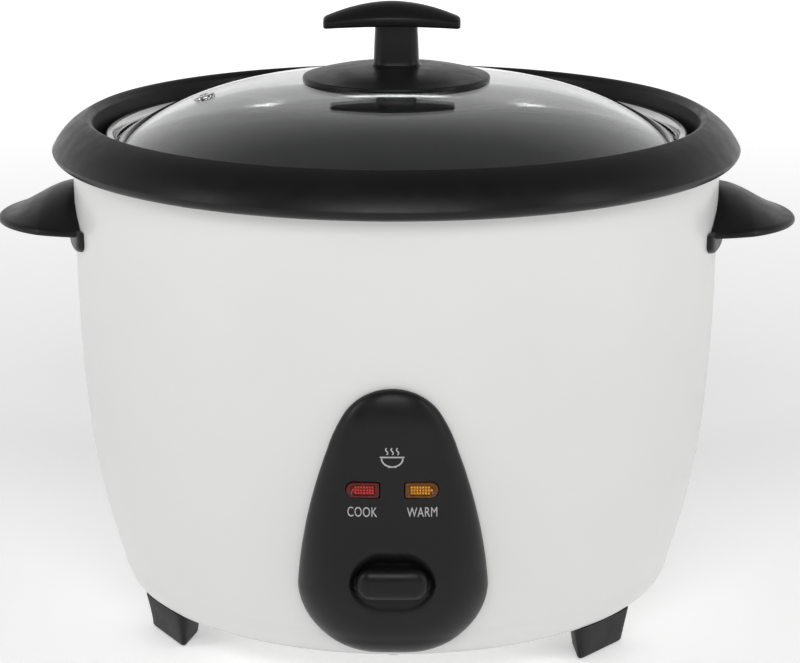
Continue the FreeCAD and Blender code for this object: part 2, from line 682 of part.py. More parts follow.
def lever_arm():
    """A bent steel strip on edge: the key at the front, a fork round the pull rod at the back."""
    body = new_body("lever_arm")
    pivot_y, pivot_z = -size.pivot_back, size.pivot_height
    upper, lower = pivot_z + size.lever_strip, pivot_z - size.lever_strip_under
    front, key_top, tail = -size.lever_front, pivot_z + size.lever_key_height, -7
    extrude(body, "YZ_Plane", size.lever_thickness, [[
        (front, pivot_z), (front, key_top), (-size.lever_key_back, key_top), (-size.lever_neck, upper),
        (pivot_y + 6, upper), (tail, pivot_z + 1), (tail, pivot_z - 0.5), (pivot_y + 6, lower),
        (pivot_y - 8, lower), (-size.lever_neck, pivot_z - 1.5), (-size.lever_neck - 10, pivot_z),
    ]], middle=True)
    half, slot, back = size.fork_half, size.fork_slot, size.fork_back
    extrude(body, "XY_Plane", size.lever_blade, [[
        (-half, -size.fork_front), (half, -size.fork_front), (half, back), (slot, back),
        (slot, -1), (-slot, -1, -size.fork_curve), (-slot, back), (-half, back),
    ]], offset=pivot_z - 0.5)
    pad, seat = size.lever_pad_half, -size.lever_spring_seat
    extrude(body, "XY_Plane", size.lever_blade, [[
        (-pad, seat - pad), (pad, seat - pad), (pad, seat + pad), (-pad, seat + pad)]], offset=lower)
    pivot_hole = ((pivot_y, pivot_z), size.pivot_radius + size.pivot_clearance)
    extrude(body, "YZ_Plane", 20, circles=[pivot_hole], cut=True, middle=True)
    return body


def switch_key():
    """The moulded bar under the finger, with the socket that holds the lever arm."""
    body = new_body("switch_key")
    half, middle = size.key_height / 2, size.key_center_height
    back = size.key_front - size.key_depth
    extrude(body, "XZ_Plane", size.key_depth, [
        rounded_box(size.key_width / 2, middle - half, middle + half, size.key_corner)], offset=back)
    tall = size.key_socket_tall
    extrude(body, "XZ_Plane", size.key_socket_length, [
        rounded_box(size.key_socket_half, middle - tall, middle + tall, 1.2)], offset=back, back=True)
    slot = size.lever_thickness / 2 + 0.05
    low, high = size.pivot_height - 0.1, size.pivot_height + size.lever_key_height + 0.1
    extrude(body, "XZ_Plane", 24, [[(-slot, low), (slot, low), (slot, high), (-slot, high)]],
            offset=size.lever_front + 0.2, cut=True)
    return body


def switch_bracket():
    """A channel screwed under the bowl's floor, whose two cheeks carry the pivot pin."""
    body = new_body("switch_bracket")
    half, sheet, floor = size.bracket_half_width, size.bracket_sheet, size.liner_floor_height
    low = size.pivot_height - size.bracket_drop
    extrude(body, "XZ_Plane", size.bracket_length, [[
        (-half, low), (-half + sheet, low), (-half + sheet, floor - sheet),
        (half - sheet, floor - sheet), (half - sheet, low), (half, low), (half, floor), (-half, floor),
    ]], offset=size.bracket_front)
    pin_hole = ((-size.pivot_back, size.pivot_height), size.pivot_radius + 0.02)
    extrude(body, "YZ_Plane", 20, circles=[pin_hole], cut=True, middle=True)
    holes = [((0, -spot), size.screw_hole) for spot in bracket_screw_spots()]
    extrude(body, "XY_Plane", size.through, circles=holes, cut=True, back=True)
    return body


# ---------------------------------------------------------------- pot and lid

def inner_pot():
    body = new_body("inner_pot")
    base = size.plate_top_height + size.pot_base_gap
    wall, corner, neck, top = size.pot_wall, size.pot_corner, size.pot_neck, size.pot_flange_height
    radius = size.pot_radius
    revolve(body, [[
        (0, base), (radius - corner, base), (radius, base + corner, corner), (radius, top - neck),
        (radius + neck, top, -neck), (size.pot_flange_radius, top), (size.pot_flange_radius, top + wall),
        (radius + neck - wall, top + wall), (radius - wall, top + wall - neck, neck),
        (radius - wall, base + corner), (radius - corner, base + wall, -(corner - wall)), (0, base + wall),
    ]])
    return body


def lid_glass():
    body = new_body("glass_blank", node=False)
    apex, thick = size.glass_apex_height, size.glass_thickness
    turn, edge = size.glass_turn_radius, size.glass_edge_radius
    revolve(body, [[
        (size.glass_apex_bore, apex - thick), (turn - 0.5, size.glass_turn_height - thick + 0.04,
                            -(size.glass_crown_curve - thick)),
        (edge - 3.5, size.glass_edge_height - 1.44, -(size.glass_skirt_curve - thick)),
        (edge, size.glass_edge_height),
        (turn, size.glass_turn_height, size.glass_skirt_curve),
        (size.glass_apex_bore, apex, size.glass_crown_curve),
    ]])
    reach = 8
    bore = cylinder("vent_hole", size.vent_hole, reach * 2, Vector())
    bore.Placement = vent_placement() * Placement(Vector(0, 0, -reach), Rotation())
    return combine("Cut", "lid_glass", [body, bore], node=True)


def vent_placement():
    """Local frame of the steam vent: on the glass, +Z along the glass's outward normal."""
    radius = number(size.vent_circle)
    curve = number(size.glass_skirt_curve)
    turn_r, turn_z = number(size.glass_turn_radius), number(size.glass_turn_height)
    crown = math.asin(turn_r / number(size.glass_crown_curve))
    center_r = turn_r - curve * math.sin(crown)
    center_z = turn_z - curve * math.cos(crown)
    tilt = math.asin((radius - center_r) / curve)
    height = center_z + curve * math.cos(tilt)
    spin = Rotation(Z_AXIS, number(size.vent_azimuth))
    lean = Rotation(Y_AXIS, math.degrees(tilt))
    return Placement(spin.multVec(Vector(radius, 0, height)), spin * lean)


def steam_vent():
    body = new_body("steam_vent")
    thick, bore = size.glass_thickness, size.vent_bore
    revolve(body, [[
        (bore, -thick - 0.9), (bore + 2.2, -thick - 0.9), (bore + 2.2, -thick - 0.2),
        (bore + 0.8, -thick - 0.2), (bore + 0.8, 0.15), (size.vent_radius, 0.15),
        (size.vent_radius - 0.8, 1.0, 0.9), (bore + 0.5, 1.0), (bore, 0.5, 0.5),
    ]])
    body.Placement = vent_placement()
    return body


def lid_rim():
    body = new_body("lid_rim")
    outer, base, top, sheet = size.lid_rim_radius, size.lid_rim_base, size.lid_rim_top, size.lid_rim_sheet
    foot = outer - size.lid_rim_foot
    revolve(body, [[
        (foot, base), (outer, base), (outer, top - 1.2), (outer - 1.2, top, 1.2),
        (outer - 2.9, top), (outer - 4.6, top - 2.8, 5.0), (outer - 4.1, top - 3.1),
        (outer - 2.6, top - sheet, -4.4), (outer - 1.3, top - sheet), (outer - sheet, top - 1.3, -0.7),
        (outer - sheet, base + sheet), (foot, base + sheet),
    ]])
    return body


def knob_skirt():
    """A shallow dome that lies on the glass under the knob's stem."""
    body = new_body("knob_skirt")
    apex, radius, gap = size.glass_apex_height, size.skirt_radius, 0.2
    edge = apex - size.skirt_drop
    revolve(body, [[
        (size.lid_screw_hole, apex + gap), (radius, edge, -(size.glass_crown_curve + gap)),
        (radius, edge + size.skirt_rim_height - 0.7),
        (radius - size.skirt_edge, edge + size.skirt_rim_height, size.skirt_edge),
        (size.skirt_boss_radius, size.skirt_top_height, size.skirt_dome_curve),
        (size.lid_screw_hole, size.skirt_top_height),
    ]])
    return body


def knob():
    """Cross bar and stem in one moulding, bored from below for the lid's screw."""
    body = new_body("knob")
    base, tip, edge, bend = size.bar_base_height, size.bar_tip_height, size.bar_edge, size.bar_edge_curve
    left, right = -(size.bar_width / 2) - size.bar_shift, size.bar_width / 2 - size.bar_shift
    rise, reach = size.bar_top_height - tip, size.bar_width / 2 - edge
    crown = (reach * reach + rise * rise) / (rise * 2)
    extrude(body, "XZ_Plane", 40, [[
        (left + edge, base, bend), (right - edge, base), (right, base + edge, bend), (right, tip - edge),
        (right - edge, tip, bend), (left + edge, tip, crown), (left, tip - edge, bend),
        (left, base + edge),
    ]], middle=True)
    deep, narrow, bow = size.bar_depth / 2, size.bar_tip_depth / 2, size.bar_side_curve
    waist_left, waist_right = -size.bar_waist - size.bar_shift, size.bar_waist - size.bar_shift
    keep = [
        (left - 1, -narrow), (waist_left, -deep, bow), (waist_right, -deep), (right + 1, -narrow, bow),
        (right + 1, narrow), (waist_right, deep, bow), (waist_left, deep), (left - 1, narrow, bow),
    ]
    far = 60
    frame = [(-far, -far), (far, -far), (far, far), (-far, far)]
    extrude(body, "XY_Plane", size.through * 2, [frame, keep], cut=True, back=True)
    foot = size.skirt_top_height
    extrude(body, "XY_Plane", base + 1 - foot, [
        rounded_box(size.stem_width / 2, -(size.stem_depth / 2), size.stem_depth / 2, size.stem_corner)],
        offset=foot)
    extrude(body, "XY_Plane", 11.5, circles=[((0, 0), size.screw_hole)], offset=foot, cut=True, back=True)
    return body


# ---------------------------------------------------------------- control panel

def bell_outline():
    """Front view of the panel: round top, flaring sides, a wide rounded foot."""
    shoulder, neck, wide, foot = (
        size.panel_shoulder_half, size.panel_neck_half, size.panel_half, size.panel_foot_half)
    return [
        (shoulder, size.panel_shoulder_height, size.panel_neck_curve),
        (-shoulder, size.panel_shoulder_height, size.panel_top_curve),
        (-neck, size.panel_neck_height, size.panel_neck_curve),
        (-wide, size.panel_wide_height, size.panel_side_curve),
        (-foot, size.panel_bottom, size.panel_foot_curve),
        (foot, size.panel_bottom),
        (wide, size.panel_wide_height, size.panel_foot_curve),
        (neck, size.panel_neck_height, size.panel_side_curve),
    ]


def panel_windows():
    """Openings for the key and for the two lenses."""
    gap, middle = size.lens_gap, size.lens_center_height
    key_top = size.key_center_height + size.key_height / 2 + 0.8
    windows = [rounded_box(size.key_width / 2 + size.key_gap, size.scoop_bottom, key_top, 5.0)]
    for side in (size.lens_offset, -size.lens_offset):
        windows.append(rounded_box(
            size.lens_width / 2 + gap, middle - size.lens_height / 2 - gap,
            middle + size.lens_height / 2 + gap, size.lens_corner, side))
    return windows


def control_panel():
    body = new_body("control_panel")
    extrude(body, "XZ_Plane", 50, [bell_outline()], offset=95)
    revolve(body, [envelope(size.skin_gap)], cut=True)
    far, top = 200, size.panel_crown_height
    revolve(body, [[
        (size.panel_low_radius, 0), (far, 0), (far, top), (size.shell_radius - 1, top),
        (size.shell_radius - 1, size.panel_crown_base),
        (size.panel_front_radius, size.panel_front_height, -size.panel_crown_curve),
        (size.panel_low_radius, size.foot_height, -size.panel_belly_curve),
    ]], cut=True)
    extrude(body, "XZ_Plane", size.panel_hollow_face, [
        rounded_box(size.panel_hollow_half, size.panel_hollow_low, size.panel_hollow_high, 4)],
        cut=True, back=True)
    extrude(body, "XZ_Plane", size.through, panel_windows(), cut=True, back=True)
    extrude(body, "XZ_Plane", 20, [
        rounded_box(size.scoop_half, size.scoop_bottom - 1.5, size.scoop_top, size.scoop_corner)],
        offset=size.key_front - size.scoop_depth, cut=True, back=True)
    for face, height in ((size.panel_high_face, size.panel_boss_high),
                         (size.panel_low_face, size.panel_boss_low)):
        extrude(body, "XZ_Plane", face, circles=[((0, height), size.screw_hole)], cut=True, back=True)
    return body


def lens(name, side):
    """A lens bar with a flange behind the panel; side is -1 or 1."""
    body = new_body(name)
    half, tall, middle = size.lens_width / 2, size.lens_height / 2, size.lens_center_height
    flange = size.lens_flange
    back = size.lens_front - size.lens_length
    center = size.lens_offset if side > 0 else -size.lens_offset
    extrude(body, "XZ_Plane", size.lens_length, [
        rounded_box(half, middle - tall, middle + tall, size.lens_corner, center)], offset=back)
    extrude(body, "XZ_Plane", flange, [
        rounded_box(half + flange, middle - tall - flange, middle + tall + flange, 0.6, center)],
        offset=back - 0.3)
    return body


def lamp_holder():
    body = new_body("lamp_holder")
    middle, tall = size.lens_center_height, size.holder_tall
    holes = [((side, middle), size.lamp_radius + 0.1) for side in (-size.lens_offset, size.lens_offset)]
    extrude(body, "XZ_Plane", size.holder_sheet, [
        rounded_box(size.holder_half, middle - tall, middle + tall, 1)], holes, offset=size.holder_back)
    return body


def lamp(name, side):
    body = new_body(name)
    extrude(body, "XZ_Plane", size.lamp_length, circles=[
        ((side, size.lens_center_height), size.lamp_radius)], offset=size.lamp_back)
    return body


# ---------------------------------------------------------------- handles

def handle(name, turn):
    """A crowned shelf on a flange that hugs the casing; the left one is the right one turned round."""
    body = new_body(name)
    base, reach, half = size.handle_base_height, size.handle_reach, size.handle_flange_half
    root_side = size.handle_root_height - size.handle_crown_drop
    tip_top = base + size.handle_tip_height
    near = new_sketch(body, "YZ_Plane", [[
        (-half, base), (half, base), (half, root_side), (-half, root_side, size.handle_crown_curve),
    ]], offset=124)
    far = new_sketch(body, "YZ_Plane", [[
        (-half, base), (half, base), (half, tip_top), (-half, tip_top, size.handle_tip_curve),
    ]], offset=reach + 2)
    loft = body.newObject("PartDesign::AdditiveLoft", name + "Loft")
    loft.Profile = near
    loft.Sections = [far]
    loft.Ruled = True
    nose, nose_half, side = reach - size.handle_nose, size.handle_nose_half, size.handle_side_curve
    inside = 100
    keep = [
        (inside, -size.handle_half), (size.handle_root, -size.handle_half), (nose, -nose_half, side),
        (nose, nose_half, size.handle_nose_curve), (size.handle_root, size.handle_half, side),
        (inside, size.handle_half),
    ]
    frame = [(80, -70), (200, -70), (200, 70), (80, 70)]
    extrude(body, "XY_Plane", size.through * 2, [frame, keep], cut=True, back=True)
    inner, low = size.shell_top_radius + 0.1, size.handle_flange_base
    outer = inner + size.handle_flange_depth
    flange_angle = 2 * math.degrees(math.asin(half.value / outer.value))
    revolve(body, [[
        (inner, low), (outer, low + 1.2), (outer, base + 7), (inner, base + 9),
    ]], angle=flange_angle)
    revolve(body, [envelope(size.skin_gap)], cut=True)
    holes = [(spot, size.screw_hole) for spot in handle_screw_spots()]
    extrude(body, "YZ_Plane", 16, circles=holes, offset=145, cut=True)
    body.Placement = Placement(Vector(), Rotation(Z_AXIS, turn))
    return body


# ---------------------------------------------------------------- power inlet and wiring parts

def inlet_bezel():
    body = new_body("inlet_bezel")
    middle, half, tall = size.inlet_height, size.inlet_width / 2, size.inlet_tall / 2
    border, gap = size.bezel_border, size.skin_gap
    extrude(body, "XZ_Plane", 40, [
        rounded_box(half + border, middle - tall - border, middle + tall + border, border)],
        offset=size.bezel_reach - size.inlet_face)
    revolve(body, [envelope(gap)], cut=True)
    extrude(body, "XZ_Plane", size.through, [
        rounded_box(half + gap, middle - tall - gap, middle + tall + gap, 1.2)], cut=True)
    return body


def power_inlet():
    """A moulded socket that is open at the back of the casing, bored for three blades."""
    body = new_body("power_inlet")
    middle, half, tall = size.inlet_height, size.inlet_width / 2, size.inlet_tall / 2
    extrude(body, "XZ_Plane", size.inlet_depth, [rounded_box(half, middle - tall, middle + tall, 1)],
            offset=-size.inlet_face)
    wide, high, bevel = size.socket_width / 2, size.socket_tall / 2, size.socket_bevel
    extrude(body, "XZ_Plane", size.socket_depth, [[
        (-wide, middle - high), (wide, middle - high), (wide, middle + high - bevel),
        (wide - bevel, middle + high), (-wide + bevel, middle + high), (-wide, middle + high - bevel),
    ]], offset=-size.inlet_face, cut=True, back=True)
    across, along = size.pin_half_width + size.pin_gap, size.pin_half_height + size.pin_gap
    holes = [[(side - across, rise - along), (side + across, rise - along),
              (side + across, rise + along), (side - across, rise + along)] for side, rise in pin_spots()]
    extrude(body, "XZ_Plane", size.through, holes, cut=True)
    return body


def pin_spots():
    """Centres of the three blades, the middle one higher than its neighbours."""
    middle, side = size.inlet_height, size.pin_side
    low = middle - size.pin_drop
    return ((-side, low), (side * 0, middle + size.pin_lift), (side, low))


def inlet_pins():
    inner, outer = size.inlet_face - size.pin_back, size.inlet_face - size.pin_sunk
    across, along = size.pin_half_width, size.pin_half_height
    blades = [box(f"blade{index}", (side - across, inner, rise - along), (side + across, outer, rise + along))
              for index, (side, rise) in enumerate(pin_spots())]
    return combine("Compound", "inlet_pins", blades, node=True)


def terminal_block():
    """A small ceramic block with three screw wells, standing on the bottom cover."""
    base = size.foot_height + size.cover_sheet
    half, front, back, tall = 17.0, 66.0, 80.0, 11.0
    pitch, well_radius, well_depth = 10.0, 2.6, 5.0
    block = box("block", (-half, front, base), (half, back, base + tall))
    wells = [cylinder(f"well{index}", well_radius, well_depth + 1,
                      Vector((index - 1) * pitch, (front + back) / 2, number(base) + tall - well_depth))
             for index in range(3)]
    return combine("Cut", "terminal_block", [block, combine("Fuse", "wells", wells)], node=True)


def contact_block():
    floor = size.liner_floor_height
    block = box("contact_block", (9.0, -50.0, floor - 9), (23.0, -28.0, floor))
    block.Label = "contact_block"
    nodes.append(block)
    return block


def contact_blades():
    """Two leaf contacts beside the lever, each with a button, clamped under the block."""
    floor = number(size.liner_floor_height)
    sheet, left, right, back = 0.6, 11.0, 19.0, -30.0
    button_radius, button_height = 2.0, 0.9
    middle = (left + right) / 2
    leaves = []
    for index, drop in enumerate((10.2, 13.4)):
        low = floor - drop
        strip = box(f"leaf{index}", (left, -60.0 - 4 * index, low), (right, back, low + sheet))
        button_base = low + sheet if index else low - button_height
        button = cylinder(f"button{index}", button_radius, button_height, Vector(middle, -56, button_base))
        leaves.append(combine("Fuse", f"leaf_with_button_{index}", [strip, button]))
    stay = box("leafStay", (middle - 2.5, -37.0, floor - 12.8), (middle + 2.5, -32.0, floor - 10.2))
    bolt = cylinder("leafBolt", 1.2, 1.2, Vector(middle, -34, floor - 10.2))
    upper = combine("Fuse", "leafUpper", [leaves[0], stay, bolt])
    return combine("Compound", "contact_blades", [upper, leaves[1]], node=True)


FUSE_SPOT = (30.0, -11.0)
FUSE_RADIUS = 2.2
FUSE_DROP = 2.4


def thermal_fuse():
    low = number(size.plate_top_height - size.plate_thickness)
    fuse = cylinder("thermal_fuse", FUSE_RADIUS, 22, Vector(*FUSE_SPOT, low - FUSE_DROP), Y_AXIS)
    fuse.Label = "thermal_fuse"
    nodes.append(fuse)
    return fuse


def fuse_clip():
    """A strap that holds the fuse against the underside of the heater plate."""
    low = number(size.plate_top_height - size.plate_thickness)
    middle = FUSE_SPOT[0]
    strap = box("clipStrap", (middle - 3, -4.0, low - 5.0), (middle + 8, 4.0, low))
    bore = cylinder("clipBore", FUSE_RADIUS + 0.1, 12, Vector(middle, -6, low - FUSE_DROP), Y_AXIS)
    mouth = box("clipGap", (middle - 5, -6.0, low - FUSE_DROP), (middle + FUSE_RADIUS, 6.0, low + 1))
    return combine("Cut", "fuse_clip", [strap, combine("Fuse", "clipCut", [bore, mouth])], node=True)


def keep_warm_thermostat():
    low = number(size.plate_top_height - size.plate_thickness)
    radius, height, tab = 8.0, 3.4, 1.0
    case = cylinder("warmCase", radius, height, Vector(-5, 36, low - height))
    tabs = box("warmTabs", (-15.0, 34.0, low - height - tab), (5.0, 38.0, low - height))
    return combine("Fuse", "keep_warm_thermostat", [case, tabs], node=True)


def rating_plate():
    base = number(size.foot_height)
    plate = box("rating_plate", (-27.0, 46.0, base - 0.3), (27.0, 76.0, base))
    plate.Label = "rating_plate"
    nodes.append(plate)
    return plate


# ---------------------------------------------------------------- fasteners and springs

def upward_screws(name, spots, height, length, **head):
    seats = [Vector(along, across, height) for along, across in spots]
    return screw_group(name, seats, [Z_AXIS] * len(seats), length, **head)


def fasteners():
    base, cover = number(size.foot_height), number(size.cover_sheet)
    floor, well = number(size.liner_floor_height), number(size.foot_well)
    upward_screws("cover_screws", cover_screw_spots(), base, 5, head_height=1.5)
    upward_screws("foot_screws", foot_spots(), well, base + cover + 0.6 - well)
    upward_screws("plate_screws", around(size.post_circle.value, 3), floor, 10.5)
    upward_screws("bracket_screws", [(0, -spot) for spot in bracket_screw_spots()],
                  floor - number(size.bracket_sheet), 4.5, head_radius=3.4, head_height=2)
    seats, directions = [], []
    for side in (-1, 1):
        for across, height in handle_screw_spots():
            seats.append(Vector(side * 127.2, number(across), number(height)))
            directions.append(X_AXIS * side)
    screw_group("handle_screws", seats, directions, 14, head_radius=3.4, head_height=2)
    seats = [Vector(0, -128.9, number(size.panel_boss_high)), Vector(0, -113.4, number(size.panel_boss_low))]
    screw_group("panel_screws", seats, [-Y_AXIS] * 2, 5, head_radius=3.2, head_height=2)


def lid_screw():
    seat = Vector(0, 0, number(size.glass_apex_height) - 4.8)
    nodes.append(screw("lid_screw", seat, Z_AXIS, 19, head_radius=5, head_height=2.6))


def pivot_pin():
    half = number(size.bracket_half_width) + 1.5
    start = Vector(-half, -number(size.pivot_back), number(size.pivot_height))
    pin = cylinder("pivot_pin", size.pivot_radius, 2 * half, start, X_AXIS)
    pin.Label = "pivot_pin"
    nodes.append(pin)


def springs():
    cap_under = size.cap_top_height - size.cap_wall
    coil("sensor_spring", (0, 0), size.cup_base_height + size.cup_floor, cap_under, 13.3, 0.5, 5)
    coil("magnet_spring", (0, 0), size.magnet_base_height + size.magnet_thickness, cap_under, 4.2, 0.45, 4)
    seat = -number(size.lever_spring_seat)
    arm_under = size.pivot_height - size.lever_strip_under
    coil("lever_spring", (0, seat), size.foot_height + size.cover_sheet, arm_under, 4.0, 0.5, 8)


# ---------------------------------------------------------------- build and write

def build():
    outer_shell()
    rim_ring()
    inner_liner()
    bottom_cover()
    for name, angle in foot_angles().items():
        foot(name, angle)
    heater_plate()
    heating_element()
    plate_posts()
    thermostat_cup()
    sensor_cap()
    cap_under = size.cap_top_height - size.cap_wall
    disc("ferrite", size.ferrite_bore, size.ferrite_radius, cap_under - size.ferrite_thickness, cap_under)
    disc("magnet", 0, size.magnet_radius, size.magnet_base_height,
         size.magnet_base_height + size.magnet_thickness)
    pull_rod()
    lever_arm()
    switch_key()
    switch_bracket()
    inner_pot()
    lid_glass()
    steam_vent()
    lid_rim()
    knob_skirt()
    knob()
    apex = size.glass_apex_height
    disc("lid_washer", 2.2, 9, apex - 4.7, apex - 3.3)
    control_panel()
    lens("cook_lens", -1)
    lens("warm_lens", 1)
    lamp_holder()
    lamp("cook_lamp", -size.lens_offset)
    lamp("warm_lamp", size.lens_offset)
    handle("handle_right", 0)
    handle("handle_left", 180)
    inlet_bezel()
    power_inlet()
    inlet_pins()
    terminal_block()
    contact_block()
    contact_blades()
    thermal_fuse()
    fuse_clip()
    keep_warm_thermostat()
    rating_plate()
    fasteners()
    lid_screw()
    pivot_pin()
    springs()


def check_and_write():
    doc.recompute()
    failed = [item.Name for item in doc.Objects if "Invalid" in item.State or "Error" in item.State]
    if failed:
        raise RuntimeError(f"these objects failed: {failed}")
    os.makedirs("parts", exist_ok=True)
    for node in nodes:
        shape = node.Shape
        if shape.isNull() or not shape.isValid() or shape.Volume <= 0:
            raise RuntimeError(f"{node.Label} has no valid solid")
        shape.exportStep(os.path.join("parts", node.Label + ".step"))
    print(len(nodes), "pieces written")


build()
check_and_write()
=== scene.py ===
"""The looks of the rice cooker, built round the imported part.

Row frame: +Z up, -Y is the front with the control panel, +X is the right-hand handle.
Shapes are drawn in millimetres and turned into metres as their meshes are made.
"""

import json
import math

import bmesh
import bpy
import numpy as np
from mathutils import Matrix, Vector


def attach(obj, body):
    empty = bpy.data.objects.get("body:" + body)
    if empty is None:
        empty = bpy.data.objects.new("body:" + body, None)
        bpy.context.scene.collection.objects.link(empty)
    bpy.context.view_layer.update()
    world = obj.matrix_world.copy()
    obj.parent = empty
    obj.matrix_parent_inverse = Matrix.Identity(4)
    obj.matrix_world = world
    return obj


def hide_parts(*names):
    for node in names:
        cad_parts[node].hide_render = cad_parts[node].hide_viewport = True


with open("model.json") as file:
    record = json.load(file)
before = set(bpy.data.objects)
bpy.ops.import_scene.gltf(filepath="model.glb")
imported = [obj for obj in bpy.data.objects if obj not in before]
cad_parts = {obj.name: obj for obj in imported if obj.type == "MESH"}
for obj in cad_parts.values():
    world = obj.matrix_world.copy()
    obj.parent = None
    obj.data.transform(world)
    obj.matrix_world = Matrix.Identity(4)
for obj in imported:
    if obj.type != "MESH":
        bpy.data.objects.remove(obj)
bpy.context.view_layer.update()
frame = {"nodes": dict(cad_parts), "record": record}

MM = 0.001
TURN = 2 * math.pi

# outside of the casing as (radius, height); a third number bends the edge that arrives there
SHELL_LINE = [(113.0, 16.0), (116.0, 25.0, 22.0), (127.1, 74.0, 290.0), (131.3, 150.0, 630.0),
              (131.9, 190.5)]
PANEL_SEAT_GAP = 0.15
PANEL_CROWN_REACH = 15.0
SCOOP_FLOOR = 129.6
PRINT_LIFT = 0.06

# lid glass: a flat crown on a rounder shoulder, and the vent through the shoulder
CROWN_EDGE, CROWN_EDGE_HEIGHT = 60, 217.4
CROWN_BEND, SHOULDER_BEND = 394.0, 133.0
VENT_REACH, VENT_AZIMUTH = 78, 184

FOOT_REACH = 102.5
FOOT_ANGLES = {"foot_front_left": -148.5, "foot_front_right": -40.2, "foot_rear_left": 139.8,
               "foot_rear_right": 31.5}
DRAWN_HERE = {"rim_ring", "inner_pot", "lid_glass", "lid_rim", "steam_vent", "knob_skirt", "knob",
              "control_panel", "switch_key", "cook_lens", "warm_lens", "handle_right", "handle_left",
              *FOOT_ANGLES}
LENS_HEIGHT, LENS_SIDE = 89.3, 10.85
LENS_HALF_WIDTH, LENS_HALF_TALL, LENS_FRONT = 6.2, 3.0, 136.9
KEY_CENTER, KEY_HALF_WIDTH, KEY_HALF_TALL, KEY_FRONT = 51.2, 13.5, 6.15, 136.6


# ---------------------------------------------------------------- outlines

def arc_points(start, end, bend):
    """Points of a circular arc after its start; a positive bend turns left."""
    chord = end - start
    half = chord.length / 2
    radius = abs(bend)
    side = Vector((-chord.y, chord.x)).normalized() * math.copysign(1, bend)
    center = (start + end) / 2 + side * math.sqrt(max(radius * radius - half * half, 0))
    sweep = 2 * math.asin(min(half / radius, 1)) * math.copysign(1, bend)
    widest_turn, longest_step = 0.12, 4
    count = max(3, math.ceil(abs(sweep) / widest_turn), math.ceil(radius * abs(sweep) / longest_step))
    spoke = start - center
    points = []
    for index in range(1, count + 1):
        angle = sweep * index / count
        points.append(center + Vector((spoke.x * math.cos(angle) - spoke.y * math.sin(angle),
                                       spoke.x * math.sin(angle) + spoke.y * math.cos(angle))))
    return points


def trace(corners, closed=True):
    """The points of an outline of (u, v) corners; a third number bends the edge that arrives there."""
    points = []
    for index, corner in enumerate(corners):
        end = Vector(corner[:2])
        if index == 0 and not closed:
            points.append(end)
        elif len(corner) > 2:
            points += arc_points(Vector(corners[index - 1][:2]), end, corner[2])
        else:
            points.append(end)
    return points


def soften(points, radius, limit=0.4):
    """Rounds the sharp corners of a closed outline, as a real edge is."""
    smooth = []
    for index, point in enumerate(points):
        before, after = points[index - 1], points[(index + 1) % len(points)]
        arriving, leaving = point - before, after - point
        turn = arriving.angle_signed(leaving, 0.0)
        if abs(turn) < limit:
            smooth.append(point)
            continue
        reach = min(radius * math.tan(abs(turn) / 2), 0.45 * arriving.length, 0.45 * leaving.length)
        first, last = point - arriving.normalized() * reach, point + leaving.normalized() * reach
        for step in range(5):
            share = step / 4
            smooth.append(first.lerp(point, share).lerp(point.lerp(last, share), share))
    return smooth


def resample(points, count):
    """Evenly spaced points round a closed outline."""
    lengths = [(points[(index + 1) % len(points)] - point).length for index, point in enumerate(points)]
    step = sum(lengths) / count
    spaced, index, walked = [], 0, 0.0
    for number in range(count):
        target = number * step
        while walked + lengths[index] < target and index < len(points) - 1:
            walked += lengths[index]
            index += 1
        share = (target - walked) / max(lengths[index], 1e-9)
        spaced.append(points[index].lerp(points[(index + 1) % len(points)], min(share, 1.0)))
    return spaced


def rounded_rectangle(half_width, half_tall, corner, center=(0.0, 0.0), steps=6):
    """A closed outline with rounded corners; corner is one radius, or four from the lower right on."""
    radii = (corner,) * 4 if isinstance(corner, (int, float)) else corner
    signs = ((1, -1), (1, 1), (-1, 1), (-1, -1))
    points = []
    for number, ((side, level), radius) in enumerate(zip(signs, radii)):
        middle = Vector((center[0] + side * (half_width - radius), center[1] + level * (half_tall - radius)))
        for step in range(steps + 1):
            angle = math.pi / 2 * (number - 1 + step / steps)
            points.append(middle + Vector((math.cos(angle), math.sin(angle))) * radius)
    return points


def circle(radius, level, steps=40):
    """A level ring of (x, y, z) points about the Z axis."""
    return [(radius * math.cos(TURN * step / steps), radius * math.sin(TURN * step / steps), level)
            for step in range(steps)]


SHELL_POINTS = trace(SHELL_LINE, closed=False)


def shell_radius(height):
    """Radius of the casing's outside at a height."""
    for low, high in zip(SHELL_POINTS, SHELL_POINTS[1:]):
        if height <= high.y:
            share = max(0.0, (height - low.y) / (high.y - low.y))
            return low.x + (high.x - low.x) * share
    return SHELL_POINTS[-1].x


def smooth_step(low, high, value):
    """0 below low, 1 above high and an even curve between."""
    share = min(max((value - low) / (high - low), 0.0), 1.0)
    return share * share * (3 - 2 * share)


# ---------------------------------------------------------------- mesh helpers

def to_object(name, mesh_maker, sharp=35):
    """An object from a finished bmesh, with outward normals and smooth shading up to sharp degrees."""
    bmesh.ops.remove_doubles(mesh_maker, verts=mesh_maker.verts, dist=1e-7)
    bmesh.ops.recalc_face_normals(mesh_maker, faces=mesh_maker.faces)
    mesh = bpy.data.meshes.new(name)
    mesh_maker.to_mesh(mesh)
    mesh_maker.free()
    made = bpy.data.objects.new(name, mesh)
    bpy.context.scene.collection.objects.link(made)
    shade(made, sharp)
    return made


def shade(made, sharp=35):
    """Smooth shading, broken where faces meet at more than sharp degrees."""
    mesh = made.data
    mesh.polygons.foreach_set("use_smooth", [True] * len(mesh.polygons))
    mesh.set_sharp_from_angle(angle=math.radians(sharp))


